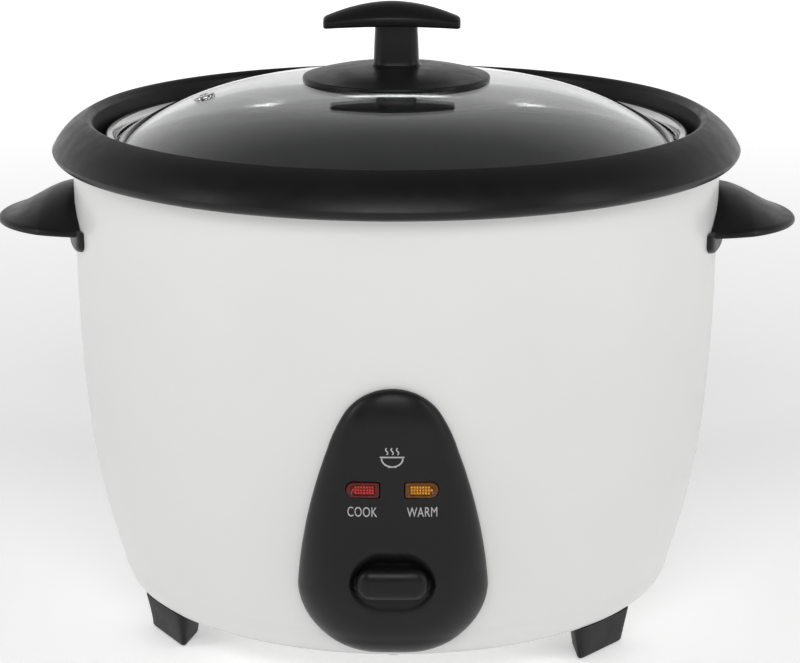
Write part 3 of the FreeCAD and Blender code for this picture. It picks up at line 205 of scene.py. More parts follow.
def bridge(maker, ring, after):
    """Faces between two closed rings of vertices; a ring may be a single vertex."""
    count = max(len(ring), len(after))
    for index in range(count):
        follow = (index + 1) % count
        if len(ring) == 1 and len(after) == 1:
            return
        if len(ring) == 1:
            maker.faces.new((ring[0], after[index], after[follow]))
        elif len(after) == 1:
            maker.faces.new((ring[index], after[0], ring[follow]))
        else:
            maker.faces.new((ring[index], after[index], after[follow], ring[follow]))


def lathe(name, outline, segments=224, sharp=35):
    """A closed outline of (radius, height) points turned about the Z axis."""
    maker = bmesh.new()
    rings = []
    for point in outline:
        if point.x < 1e-4:
            rings.append([maker.verts.new((0, 0, point.y * MM))])
        else:
            rings.append([maker.verts.new((point.x * MM * math.cos(TURN * index / segments),
                                           point.x * MM * math.sin(TURN * index / segments), point.y * MM))
                          for index in range(segments)])
    for ring, after in zip(rings, rings[1:] + rings[:1]):
        bridge(maker, ring, after)
    return to_object(name, maker, sharp)


def loft(name, sections, sharp=35):
    """A closed tube through sections, each a list of points in mm of the same length."""
    maker = bmesh.new()
    rings = [[maker.verts.new(Vector(point) * MM) for point in section] for section in sections]
    for ring, after in zip(rings, rings[1:]):
        bridge(maker, ring, after)
    for ring in (rings[0], rings[-1]):
        if len(ring) > 2:
            middle = sum((vertex.co for vertex in ring), Vector()) / len(ring)
            bridge(maker, ring, [maker.verts.new(middle)])
    return to_object(name, maker, sharp)


class Edge:
    """The edge of a flat outline, for distances from it."""

    def __init__(self, points, closed=True):
        starts, ends = points, points[1:] + points[:1]
        if not closed:
            starts, ends = points[:-1], points[1:]
        self.starts = np.array([point[:] for point in starts])
        self.runs = np.array([point[:] for point in ends]) - self.starts
        self.squares = np.maximum((self.runs ** 2).sum(axis=1), 1e-12)

    def distance(self, point):
        offset = np.array(point[:]) - self.starts
        share = np.clip((offset * self.runs).sum(axis=1) / self.squares, 0, 1)
        return float(np.sqrt(((offset - self.runs * share[:, None]) ** 2).sum(axis=1)).min())


def pillow(name, outline, center, front, back, rings=36, crowd=1.7, sharp=35, edge=None):
    """A closed patch over an outline: rings of it shrink to a center, and front and back lift each point.

    front and back are given a point of the flat outline and its distance from the edge, and return it
    in space. crowd draws the rings together near the edge.
    """
    edge = edge or Edge(outline)
    center = Vector(center)
    maker = bmesh.new()
    layers = []
    for number in range(rings):
        share = (number / rings) ** crowd
        layers.append([point.lerp(center, share) for point in outline])
    layers.append([center])
    sides = [[[maker.verts.new(Vector(lift(point, edge.distance(point))) * MM) for point in layer]
              for layer in layers] for lift in (front, back)]
    bridge(maker, sides[0][0], sides[1][0])
    for side in sides:
        for ring, after in zip(side, side[1:]):
            bridge(maker, ring, after)
    return to_object(name, maker, sharp)


def prism(name, outline, low, high):
    """An outline of (x, z) points run along Y."""
    return loft(name, [[(point.x, level, point.y) for point in outline] for level in (low, high)])


def carve(target, cutters, operation="DIFFERENCE"):
    """Applies a boolean with each cutter and removes the cutters."""
    for cutter in cutters:
        modifier = target.modifiers.new("carve", "BOOLEAN")
        modifier.operation = operation
        modifier.solver = "EXACT"
        modifier.object = cutter
    apply_modifiers(target)
    for cutter in cutters:
        bpy.data.objects.remove(cutter)
    shade(target)


def apply_modifiers(target):
    """Turns an object's modifiers into its mesh."""
    bpy.context.view_layer.update()
    graph = bpy.context.evaluated_depsgraph_get()
    mesh = bpy.data.meshes.new_from_object(target.evaluated_get(graph))
    target.modifiers.clear()
    target.data = mesh


def place(piece, body, slot, *nodes, finish=None):
    """Puts a finished piece on its body, in place of its CAD nodes, with its finish."""
    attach(piece, body)
    if nodes:
        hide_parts(*nodes)
    piece.data.materials.clear()
    piece.data.materials.append(finish or FINISHES[slot])


# ---------------------------------------------------------------- finishes

class Finish:
    """A node material that is put together step by step; everything is in object space, in metres."""

    def __init__(self, name, **fixed):
        self.material = bpy.data.materials.new(name)
        self.material.use_nodes = True
        self.nodes = self.material.node_tree.nodes
        self.links = self.material.node_tree.links
        self.shader = self.nodes["Principled BSDF"]
        for socket, value in fixed.items():
            self.shader.inputs[socket.replace("_", " ")].default_value = value
        self.where = self.nodes.new("ShaderNodeTexCoord").outputs["Object"]
        self.bumps = None

    def node(self, kind, **inputs):
        made = self.nodes.new(kind)
        for socket, value in inputs.items():
            self.feed(made.inputs[socket.replace("_", " ")], value)
        return made

    def feed(self, socket, value):
        if isinstance(value, bpy.types.NodeSocket):
            self.links.new(value, socket)
        else:
            socket.default_value = value

    def noise(self, scale, detail=3.0, stretch=None, roughness=0.55):
        where = self.where
        if stretch:
            where = self.node("ShaderNodeMapping", Vector=where, Scale=stretch).outputs["Vector"]
        made = self.node("ShaderNodeTexNoise", Vector=where, Scale=scale, Detail=detail, Roughness=roughness)
        return made.outputs["Fac"]

    def cells(self, scale):
        made = self.node("ShaderNodeTexVoronoi", Vector=self.where, Scale=scale)
        return made.outputs["Distance"]

    def spread(self, value, low, high, start=0.3, end=0.7):
        """A 0-1 pattern rescaled so that start-end becomes low-high."""
        made = self.node("ShaderNodeMapRange", Value=value)
        for socket, number in zip(("From Min", "From Max", "To Min", "To Max"), (start, end, low, high)):
            made.inputs[socket].default_value = number
        return made.outputs["Result"]

    def mix(self, share, first, second):
        made = self.node("ShaderNodeMix")
        made.data_type = "RGBA"
        self.feed(made.inputs[0], share)
        self.feed(made.inputs[6], first)
        self.feed(made.inputs[7], second)
        return made.outputs[2]

    def product(self, first, second):
        made = self.node("ShaderNodeMath")
        made.operation = "MULTIPLY"
        self.feed(made.inputs[0], first)
        self.feed(made.inputs[1], second)
        return made.outputs[0]

    def edges(self, radius):
        """1 along sharp edges and 0 on open surfaces."""
        rounded = self.node("ShaderNodeBevel", Radius=radius * MM)
        rounded.samples = 4
        plain = self.node("ShaderNodeNewGeometry").outputs["Normal"]
        dot = self.node("ShaderNodeVectorMath")
        dot.operation = "DOT_PRODUCT"
        self.links.new(rounded.outputs["Normal"], dot.inputs[0])
        self.links.new(plain, dot.inputs[1])
        return self.spread(dot.outputs["Value"], 1.0, 0.0, 0.9, 0.995)

    def bump(self, height, distance, strength=1.0):
        made = self.node("ShaderNodeBump", Height=height, Distance=distance * MM, Strength=strength)
        if self.bumps:
            self.links.new(self.bumps, made.inputs["Normal"])
        self.bumps = made.outputs["Normal"]

    def done(self, color, roughness):
        self.feed(self.shader.inputs["Base Color"], color)
        self.feed(self.shader.inputs["Roughness"], roughness)
        if self.bumps:
            self.links.new(self.bumps, self.shader.inputs["Normal"])
        return self.material


def rgb(red, green, blue):
    return (red, green, blue, 1.0)


def moulded_plastic(name, dark, light, worn, roughness, grain=0.006):
    """Satin moulding: fine spark-eroded grain, slow colour drift, edges rubbed a little shinier."""
    finish = Finish(name, IOR=1.47, Specular_IOR_Level=0.27)
    drift = finish.spread(finish.noise(38, 4), 0.0, 1.0)
    color = finish.mix(drift, rgb(*dark), rgb(*light))
    rubbed = finish.product(finish.edges(0.5), finish.spread(finish.noise(420, 4), 0.15, 0.8))
    color = finish.mix(rubbed, color, rgb(*worn))
    finish.bump(finish.cells(2600), grain)
    finish.bump(finish.noise(900, 2), grain * 1.2)
    finish.bump(finish.noise(60, 2), 0.02)
    rough = finish.spread(finish.noise(140, 5), roughness - 0.05, roughness + 0.06)
    return finish.done(color, rough)


def enamel_paint():
    """Sprayed gloss enamel: orange peel, a faint warm drift, thin dust specks."""
    finish = Finish("white enamel", IOR=1.5, Coat_Weight=0.2, Coat_Roughness=0.15)
    drift = finish.spread(finish.noise(14, 3), 0.0, 1.0)
    color = finish.mix(drift, rgb(0.74, 0.74, 0.735), rgb(0.76, 0.758, 0.75))
    speck = finish.spread(finish.noise(1500, 2), 0.0, 0.6, 0.74, 0.8)
    color = finish.mix(speck, color, rgb(0.7, 0.69, 0.67))
    worn = finish.product(finish.edges(0.35), finish.spread(finish.noise(300, 4), 0.0, 0.35))
    color = finish.mix(worn, color, rgb(0.62, 0.61, 0.6))
    finish.bump(finish.noise(260, 2), 0.012)
    finish.bump(finish.noise(1100, 2), 0.0025)
    return finish.done(color, finish.spread(finish.noise(90, 4), 0.3, 0.4))


def drawn_metal(name, dark, light, roughness, stretch=(1.0, 1.0, 1.0), line=0.004, scale=700):
    """Bright metal with a run of fine lines, handling haze and brighter edges."""
    finish = Finish(name, Metallic=1.0)
    lines = finish.noise(scale, 5, stretch)
    haze = finish.noise(55, 5)
    color = finish.mix(finish.spread(haze, 0.0, 1.0), rgb(*dark), rgb(*light))
    bright = finish.product(finish.edges(0.3), finish.spread(finish.noise(500, 3), 0.2, 0.9))
    color = finish.mix(bright, color, rgb(*[min(1.0, level * 1.18) for level in light]))
    finish.bump(lines, line)
    return finish.done(color, finish.spread(lines, roughness - 0.07, roughness + 0.09))


def turned_metal(name, dark, light, roughness, pitch=0.55, depth=0.006):
    """Metal turned or spun about the Z axis: concentric tool lines with an uneven depth."""
    finish = Finish(name, Metallic=1.0)
    flat = finish.node("ShaderNodeVectorMath")
    flat.operation = "MULTIPLY"
    finish.feed(flat.inputs[0], finish.where)
    flat.inputs[1].default_value = (1.0, 1.0, 0.35)
    length = finish.node("ShaderNodeVectorMath")
    length.operation = "LENGTH"
    finish.links.new(flat.outputs["Vector"], length.inputs[0])
    wave = finish.node("ShaderNodeMath")
    wave.operation = "SINE"
    finish.links.new(finish.product(length.outputs["Value"], TURN / (pitch * MM)), wave.inputs[0])
    haze = finish.noise(45, 5)
    color = finish.mix(finish.spread(haze, 0.0, 1.0), rgb(*dark), rgb(*light))
    bright = finish.product(finish.edges(0.3), finish.spread(finish.noise(500, 3), 0.2, 0.9))
    color = finish.mix(bright, color, rgb(*[min(1.0, level * 1.15) for level in light]))
    finish.bump(wave.outputs[0], depth)
    finish.bump(finish.noise(800, 3), 0.003)
    return finish.done(color, finish.spread(haze, roughness - 0.06, roughness + 0.1))


def nonstick_coating():
    """Dark sprayed non-stick: fine pebble, mica flecks, wear on edges and a few utensil rubs."""
    finish = Finish("nonstick", IOR=1.4)
    flecks = finish.spread(finish.noise(2400, 2), 0.0, 0.8, 0.66, 0.74)
    drift = finish.spread(finish.noise(30, 4), 0.0, 1.0)
    color = finish.mix(drift, rgb(0.036, 0.036, 0.038), rgb(0.05, 0.05, 0.052))
    color = finish.mix(flecks, color, rgb(0.16, 0.16, 0.165))
    rubs = finish.product(finish.edges(0.4), finish.spread(finish.noise(300, 4), 0.1, 0.7))
    color = finish.mix(rubs, color, rgb(0.3, 0.3, 0.31))
    finish.bump(finish.noise(1600, 2), 0.008)
    return finish.done(color, finish.spread(finish.noise(70, 5), 0.3, 0.46))


def clear_glass(name, tint, roughness):
    """Tempered glass with a whisper of draw lines and wiped film."""
    finish = Finish(name, IOR=1.5, Transmission_Weight=1.0)
    film = finish.noise(26, 5)
    color = finish.mix(finish.spread(film, 0.0, 1.0), rgb(*tint), rgb(*[level * 0.97 for level in tint]))
    finish.bump(finish.noise(20, 2), 0.02)
    return finish.done(color, finish.spread(film, roughness, roughness + 0.03))


def lens_plastic(name, deep, bright, glow):
    """Translucent coloured plastic with a faint painted glow; its darker copies paint shade on the lens rims
    and between the prisms.
    """
    finish = Finish(name, IOR=1.49, Specular_IOR_Level=0.35, Subsurface_Weight=0.25,
                    Subsurface_Scale=0.002, Subsurface_Radius=(1.0, 0.35, 0.15))
    # painted glow: the plastic emits a little of its own colour, though no lamp is lit behind it
    finish.shader.inputs["Emission Color"].default_value = rgb(*bright)
    finish.shader.inputs["Emission Strength"].default_value = glow
    color = finish.mix(finish.spread(finish.noise(900, 4), 0.0, 1.0), rgb(*deep), rgb(*bright))
    finish.bump(finish.noise(1400, 2), 0.004)
    return finish.done(color, finish.spread(finish.noise(300, 3), 0.16, 0.3))


def ceramic(name, dark, light, roughness):
    """Sintered or fired body with grains and chipped, paler edges."""
    finish = Finish(name, IOR=1.55)
    color = finish.mix(finish.spread(finish.noise(350, 5), 0.0, 1.0), rgb(*dark), rgb(*light))
    chipped = finish.product(finish.edges(0.35), finish.spread(finish.noise(700, 3), 0.0, 0.8))
    color = finish.mix(chipped, color, rgb(*[min(1.0, level * 1.4 + 0.03) for level in light]))
    finish.bump(finish.noise(1200, 3), 0.01)
    return finish.done(color, finish.spread(finish.noise(200, 4), roughness - 0.08, roughness + 0.08))


def printing_ink():
    """Pad-printed pale grey ink: slightly uneven cover and a matt skin."""
    finish = Finish("print ink", IOR=1.45)
    cover = finish.spread(finish.noise(1600, 4), 0.0, 1.0)
    color = finish.mix(cover, rgb(0.36, 0.36, 0.37), rgb(0.52, 0.52, 0.53))
    finish.bump(finish.noise(3000, 2), 0.003)
    return finish.done(color, finish.spread(finish.noise(500, 3), 0.5, 0.65))


def floor_paint():
    """A white floor whose glow grows with the distance from the object."""
    finish = Finish("studio floor", IOR=1.3, Emission_Strength=1.0)
    drift = finish.spread(finish.noise(1.4, 2), 0.0, 1.0)
    color = finish.mix(drift, rgb(0.93, 0.93, 0.93), rgb(0.95, 0.95, 0.95))
    away = finish.node("ShaderNodeVectorMath")
    away.operation = "LENGTH"
    finish.links.new(finish.where, away.inputs[0])
    near, far = 0.4, 1.8
    near_glow, far_glow = 0.32, 0.95
    glow = finish.spread(away.outputs["Value"], near_glow, far_glow, near, far)
    finish.links.new(glow, finish.shader.inputs["Emission Strength"])
    finish.shader.inputs["Emission Color"].default_value = rgb(1, 1, 1)
    return finish.done(color, 0.9)


# dark, light and worn colour of each moulding
BLACK = ((0.0062, 0.0058, 0.0064), (0.0082, 0.0078, 0.0084), (0.03, 0.029, 0.03))
FOOT_BLACK = ((0.014, 0.014, 0.014), (0.02, 0.02, 0.02), (0.07, 0.07, 0.07))
LAMP_BLACK = ((0.02, 0.02, 0.02), (0.03, 0.03, 0.03), (0.09, 0.09, 0.09))
PHENOLIC_BROWN = ((0.10, 0.045, 0.02), (0.15, 0.065, 0.03), (0.25, 0.14, 0.08))
SILICONE_GREY = ((0.50, 0.50, 0.48), (0.58, 0.58, 0.56), (0.66, 0.66, 0.64))
WIRE_GREY = ((0.38, 0.38, 0.39), (0.52, 0.52, 0.53))
STAINLESS_GREY = ((0.60, 0.60, 0.60), (0.70, 0.70, 0.69))
FINISHES = {
    "white_enamel": enamel_paint(),
    "satin_black": moulded_plastic("satin black", *BLACK, 0.36),
    "foot_black": moulded_plastic("foot black", *FOOT_BLACK, 0.55),
    "lamp_plastic": moulded_plastic("lamp plastic", *LAMP_BLACK, 0.5),
    "phenolic": moulded_plastic("phenolic", *PHENOLIC_BROWN, 0.45),
    "silicone": moulded_plastic("silicone", *SILICONE_GREY, 0.6),
    "spun_aluminium": turned_metal("spun aluminium", (0.62, 0.62, 0.63), (0.74, 0.74, 0.75), 0.34),
    "cast_aluminium": turned_metal("cast aluminium", (0.46, 0.46, 0.47), (0.58, 0.58, 0.59), 0.45, pitch=0.8),
    "nonstick": nonstick_coating(),
    "steel": drawn_metal("zinc plated steel", (0.46, 0.47, 0.48), (0.58, 0.58, 0.57), 0.38, (1, 1, 4)),
    "screw_steel": drawn_metal("screw steel", (0.44, 0.44, 0.44), (0.58, 0.58, 0.57), 0.32, scale=1600),
    "spring_steel": drawn_metal("spring wire", *WIRE_GREY, 0.3, (1, 1, 0.2), scale=1400),
    "stainless": drawn_metal("polished stainless", *STAINLESS_GREY, 0.16, (1, 1, 6), 0.002),
    "glass": clear_glass("tempered glass", (0.95, 0.965, 0.96), 0.0),
    "lamp_glass": clear_glass("lamp glass", (0.95, 0.82, 0.74), 0.02),
    "red_lens": lens_plastic("red lens", (0.42, 0.016, 0.012), (0.60, 0.032, 0.022), 0.04),
    "amber_lens": lens_plastic("amber lens", (0.58, 0.22, 0.004), (0.78, 0.35, 0.008), 0.04),
    "brass": drawn_metal("brass", (0.55, 0.40, 0.16), (0.70, 0.54, 0.24), 0.3, (4, 1, 1)),
    "porcelain": ceramic("porcelain", (0.70, 0.69, 0.65), (0.80, 0.79, 0.75), 0.6),
    "magnet_dark": ceramic("sintered magnet", (0.035, 0.035, 0.037), (0.06, 0.06, 0.062), 0.55),
    "fuse_metal": drawn_metal("fuse metal", (0.52, 0.52, 0.52), (0.64, 0.64, 0.64), 0.35, (1, 5, 1)),
}
# darker copies of the lens plastics: painted shade for each lens's rim, flange and the floor between its
# prisms
RED_LENS_PAINTED_SHADE = lens_plastic("red lens painted shade", (0.05, 0.002, 0.002), (0.11, 0.005, 0.004), 0.005)
AMBER_LENS_PAINTED_SHADE = lens_plastic("amber lens painted shade", (0.07, 0.02, 0.001), (0.15, 0.05, 0.003), 0.005)
INK = printing_ink()


# ---------------------------------------------------------------- casing and ring

def make_ring():
    """The black ring round the casing's mouth: rounded over outside, with a step for the pot's flange."""
    outline = trace([
        (113.8, 188.0), (113.8, 190.4), (122.2, 190.4), (123.2, 204.2), (126.4, 207.0, -4.0),
        (140.0, 194.0, -26.0), (137.4, 190.6, -4.5), (132.4, 189.3, -30.0), (132.4, 191.7),
        (134.8, 193.5, 30.0), (126.6, 204.6, 26.0), (125.6, 201.8), (124.6, 190.9), (124.6, 188.0)])
    ring = lathe("rim_ring_moulding", soften(outline, 0.6), 288)
    place(ring, "housing", "satin_black", "rim_ring")


# ---------------------------------------------------------------- pot and lid

def make_pot():
    """A spun pot with a rounded foot and a flat flange."""
    outline = trace([
        (0, 76.2), (92, 76.2), (110, 94.2, 18.0), (110, 187), (114, 191, -4.0), (120.4, 191),
        (121, 191.8, 0.8), (120.4, 192.6, 0.8), (112.4, 192.6), (108.4, 188.6, 4.0), (108.4, 94.2),
        (92, 77.8, -16.4), (0, 77.8)])
    pot = lathe("cooking_pot", outline, 224)
    place(pot, "pot", "nonstick", "inner_pot")


def glass_shoulder(radius):
    """Height and lean of the glass's outside at a radius beyond the crown."""
    crown = math.asin(CROWN_EDGE / CROWN_BEND)
    center = Vector((CROWN_EDGE - SHOULDER_BEND * math.sin(crown),
                     CROWN_EDGE_HEIGHT - SHOULDER_BEND * math.cos(crown)))
    lean = math.asin((radius - center.x) / SHOULDER_BEND)
    return center.y + SHOULDER_BEND * math.cos(lean), lean


def vent_frame():
    """Where the vent stands on the glass, and how it leans."""
    height, lean = glass_shoulder(VENT_REACH)
    spin = Matrix.Rotation(math.radians(VENT_AZIMUTH), 4, "Z")
    spot = Matrix.Translation(Vector((VENT_REACH, 0, height)) * MM)
    return spin @ spot @ Matrix.Rotation(lean, 4, "Y")


def make_lid():
    """The pane with its vent hole, the steel band round it, the vent's grommet and the knob's skirt."""
    glass = trace([
        (4, 218.8), (59.5, 214.24, -390.8), (113, 193.06, -129.8), (116.0, 193.9), (116.5, 194.7, 1.2),
        (CROWN_EDGE, CROWN_EDGE_HEIGHT, SHOULDER_BEND), (4, 222, CROWN_BEND)])
    pane = lathe("lid_pane", glass, 256, sharp=50)
    hole = loft("hole", [circle(2.9, -8), circle(2.9, 8)])
    hole.data.transform(vent_frame())
    carve(pane, [hole])
    place(pane, "lid", "glass", "lid_glass")

    rim = trace([
        (115.0, 192.8), (118.0, 192.8), (118.5, 193.3, 0.5), (118.5, 198.9), (117.3, 200.1, 1.2),
        (115.6, 200.1), (113.9, 197.3, 5.0), (114.4, 197.0), (115.9, 199.5, -4.4), (117.2, 199.5),
        (117.9, 198.8, -0.7), (117.9, 193.4), (115.0, 193.4)])
    place(lathe("lid_rim_band", soften(rim, 0.12), 256), "lid", "stainless", "lid_rim")

    vent = trace([
        (1.9, -4.1), (4.1, -4.1), (4.1, -3.4), (2.7, -3.4), (2.7, 0.15), (4.6, 0.15), (3.8, 1.0, 0.9),
        (2.4, 1.0), (1.9, 0.5, 0.5)])
    grommet = lathe("vent_grommet", soften(vent, 0.15), 64)
    grommet.data.transform(vent_frame())
    place(grommet, "lid", "stainless", "steam_vent")

    skirt = trace([
        (2.2, 222.03), (38.1, 220.18, -394.03), (38.2, 220.9), (37.3, 221.9, 1.0), (11, 226, 95.0),
        (2.2, 226)])
    place(lathe("knob_skirt_moulding", skirt, 192), "lid", "satin_black", "knob_skirt")


def superellipse(half_u, half_v, power, count=64):
    """A closed oval that turns boxy as power grows."""
    points = []
    for step in range(count):
        angle = TURN * step / count
        cosine, sine = math.cos(angle), math.sin(angle)
        points.append(Vector((half_u * math.copysign(abs(cosine) ** (2 / power), cosine),
                              half_v * math.copysign(abs(sine) ** (2 / power), sine))))
    return points


def bar_section(deep, low, shoulder, top):
    """Cross-section of the knob's bar: flat underside, upright faces and a domed top."""
    rise = top - shoulder
    dome = (deep * deep + rise * rise) / (2 * rise)
    corners = [(-deep, shoulder, dome), (-deep * 0.94, low), (deep * 0.94, low), (deep, shoulder)]
    return resample(soften(trace(corners), 0.8, 0.25), 72)


def make_knob():
    """A cross bar that thins towards its blunt ends, on a stem that widens towards the skirt."""
    half, shift, base, tip, crown = 27.8, 1.8, 240.95, 245.4, 251.85
    stations, blunt = 80, 1.5
    sections = []
    for number in range(stations + 1):
        along = -math.cos(math.pi * number / stations)
        share = abs(along)
        closing = min(1.0, half * (1 - share) / blunt)
        closing = 0.62 + 0.38 * math.sqrt(1 - (1 - closing) ** 2)
        top = tip + (crown - tip) * (1 - share ** 1.9)
        low = base + 1.5 * (1 - share ** 2)
        shoulder = low + 3.3 - 0.5 * share
        deep = 11.0 - 5.3 * share ** 1.7
        middle = (top + low) / 2
        section = bar_section(deep, low, shoulder, top)
        sections.append([(along * half - shift, point.x * closing, middle + (point.y - middle) * closing)
                         for point in section])
    bar = loft("knob_moulding", sections, 60)
    stem = []
    for level, grow in ((226.0, 1.3), (226.3, 0.75), (227.0, 0.4), (228.5, 0.2), (234.0, 0.0), (241.0, -0.35),
                        (243.2, -0.3), (245.4, 0.6)):
        stem.append([(point.x, point.y, level) for point in superellipse(9.0 + grow, 7.25 + grow, 3.2)])
    carve(bar, [loft("stem", stem, 60)], "UNION")
    shade(bar, 45)
    place(bar, "lid", "satin_black", "knob")


# ---------------------------------------------------------------- control panel

def panel_outline():
    """The pear shape of the panel, seen from the front."""
    corners = [
        (18.8, 115.0, 60.0), (-18.8, 115.0, 21.1), (-24.4, 101.7, 60.0), (-36.1, 45.6, 210.0),
        (-5.0, 17.0, 30.4), (5.0, 17.0), (36.1, 45.6, 30.4), (24.4, 101.7, 210.0)]
    return resample(trace(corners), 260)


def scoop_share(point):
    """0 outside the finger scoop, 1 on its flat floor; the upper side slopes in gently."""
    center, half_width, half_tall, corner = Vector((0.0, 52.2)), 16.5, 14.0, 12.5
    offset = Vector((abs(point.x - center.x) - half_width + corner,
                     abs(point.y - center.y) - half_tall + corner))
    outside = Vector((max(offset.x, 0), max(offset.y, 0))).length + min(max(offset.x, offset.y), 0) - corner
    slope = 2.3 + 7.5 * smooth_step(50.0, 62.0, point.y)
    return smooth_step(0.0, slope, -outside)


def panel_crown(point, edge):
    """Thickness of the panel over the casing, at a distance from the panel's edge."""
    level = 6.5 + 3.5 * math.exp(-((point.y - 52) / 28) ** 2)
    reach = PANEL_CROWN_REACH + 6.0 * smooth_step(85.0, 112.0, point.y)
    power = 2.2 - 0.25 * smooth_step(85.0, 112.0, point.y)
    run = 1 - min(edge / reach, 1)
    return 1.0 + level * (1 - run ** power) ** (1 / power)


def panel_face(point, edge):
    """A point of the panel's front: the crown over the casing, less the scoop."""
    radius = shell_radius(point.y)
    outer = math.sqrt(radius * radius - point.x ** 2) + panel_crown(point, edge)
    sunk = max(outer - SCOOP_FLOOR, 0) * scoop_share(point)
    return (point.x, sunk - outer, point.y)


def panel_back(point, edge):
    """A point of the panel's back, which follows the casing."""
    radius = shell_radius(point.y) + PANEL_SEAT_GAP
    return (point.x, -math.sqrt(radius * radius - point.x ** 2), point.y)


def lens_outline(side, grow=0.0):
    """The lens seen from the front: square towards the middle, rounded at its outer end."""
    outer, inner = 2.95 + grow, 0.8 + grow / 2
    radii = (outer, outer, inner, inner) if side > 0 else (inner, inner, outer, outer)
    return rounded_rectangle(LENS_HALF_WIDTH + grow, LENS_HALF_TALL + grow, radii,
                             (side * LENS_SIDE, LENS_HEIGHT))


def make_panel():
    """The crowned panel, with two lamp windows and a slot and pocket for the key's neck."""
    panel = pillow("panel_moulding", panel_outline(), (0, 60), panel_face, panel_back, rings=64, crowd=1.35)
    cutters = [prism(f"window{side}", lens_outline(side, 0.32), -150, -110) for side in (-1, 1)]
    cutters.append(prism("key_slot", rounded_rectangle(4.7, 6.4, 1.2, (0, 50.8)), -150, -100))
    cutters.append(prism("lever_pocket", rounded_rectangle(5.6, 10.6, 1.5, (0, 48.0)), -124.9, -100))
    carve(panel, cutters)
    place(panel, "housing", "satin_black", "control_panel")


def make_key():
    """The bar under the finger, domed and rounded, whose neck runs back through the panel's slot."""
    outline = resample(rounded_rectangle(KEY_HALF_WIDTH, KEY_HALF_TALL, 5.4, (0, KEY_CENTER), 10), 120)
    back_face = 130.4

    def face(point, edge):
        run = 1 - min(edge / 5.6, 1)
        dome = 3.9 * (1 - (1 - run ** 2.1) ** (1 / 2.1))
        bow = 0.5 * (point.x / KEY_HALF_WIDTH) ** 2
        return (point.x, -(KEY_FRONT - dome - bow), point.y)

    def back(point, edge):
        return (point.x, -back_face, point.y)

    key = pillow("lever_key", outline, (0, KEY_CENTER), face, back, rings=26)
    neck = prism("neck", rounded_rectangle(4, 2.9, 1.0, (0, KEY_CENTER + 2.3)), -back_face - 0.6, -122.0)
    socket = prism("socket", rounded_rectangle(4, 5.7, 1.2, (0, KEY_CENTER)), -123.9, -110.1)
    slot = prism("slot", rounded_rectangle(1.05, 4.35, 0.2, (0, 51.25)), -121.2, -100)
    carve(key, [neck, socket], "UNION")
    carve(key, [slot])
    place(key, "cook_lever", "satin_black", "switch_key")


def lens_shell(name, side, sunk):
    """A lens with a flange behind, a rounded front edge and a sunk field."""
    center = Vector((side * LENS_SIDE, LENS_HEIGHT))

    def scaled(points, across, along):
        return [center + Vector(((point.x - center.x) * across, (point.y - center.y) * along))
                for point in points]

    outline = lens_outline(side)
    field = scaled(outline, 0.68, 0.56)
    flange = rounded_rectangle(LENS_HALF_WIDTH + 1.2, LENS_HALF_TALL + 1.2, 0.6, center)
    steps = [(flange, LENS_FRONT - 11.7), (flange, LENS_FRONT - 10.5), (outline, LENS_FRONT - 10.5),
             (outline, LENS_FRONT - 0.7), (scaled(outline, 0.96, 0.93), LENS_FRONT),
             (scaled(outline, 0.76, 0.68), LENS_FRONT - 0.05), (field, LENS_FRONT - sunk)]
    shell = loft(name, [[(point.x, -level, point.y) for point in points] for points, level in steps], 20)
    return shell, field


def prism_field(name, field, sunk, pitch=1.0):
    """Small four-sided prisms in rows over the lens's field."""
    across, along = [point.x for point in field], [point.y for point in field]
    columns = round((max(across) - min(across)) / pitch)
    rows = round((max(along) - min(along)) / pitch)
    step_u, step_v = (max(across) - min(across)) / columns, (max(along) - min(along)) / rows
    maker = bmesh.new()
    for column in range(columns):
        for row in range(rows):
            middle = Vector((min(across) + (column + 0.5) * step_u, min(along) + (row + 0.5) * step_v))
            if not inside(middle, field, 0.15):
                continue
            rings = []
            for level, share in ((LENS_FRONT - sunk - 0.1, 0.42), (LENS_FRONT - 0.12, 0.30)):
                rings.append([maker.verts.new(Vector((
                    middle.x + side_u * step_u * share, -level, middle.y + side_v * step_v * share)) * MM)
                    for side_u, side_v in ((-1, -1), (1, -1), (1, 1), (-1, 1))])
            bridge(maker, *rings)
            maker.faces.new(rings[0])
            maker.faces.new(rings[1])
    return to_object(name, maker, 10)


def make_lens(name, side, slot, rim, node):
    """A lamp lens whose prisms take the bright finish, and whose rim, flange and the floor between the prisms
    take the darker copy as painted shade.
    """
    sunk = 0.5
    lens, field = lens_shell(name, side, sunk)
    carve(lens, [prism_field("prisms", field, sunk)], "UNION")
    place(lens, "housing", slot, node)
    # painted shade: the darker copy goes on every face but the raised prisms
    lens.data.materials.append(rim)
    for face in lens.data.polygons:
        face.use_smooth = False
        spot = face.center / MM
        raised = -spot.y > LENS_FRONT - sunk + 0.05 and inside(Vector((spot.x, spot.z)), field, 0.0)
        face.material_index = 0 if raised else 1


def inside(point, outline, margin):
    """Whether a point lies in a convex closed outline, at least margin from its edge."""
    for first, second in zip(outline, outline[1:] + outline[:1]):
        run = second - first
        if run.length < 1e-6:
            continue
        if (run.x * (point.y - first.y) - run.y * (point.x - first.x)) / run.length < margin:
            return False
    return True


# ---------------------------------------------------------------- printing on the panel

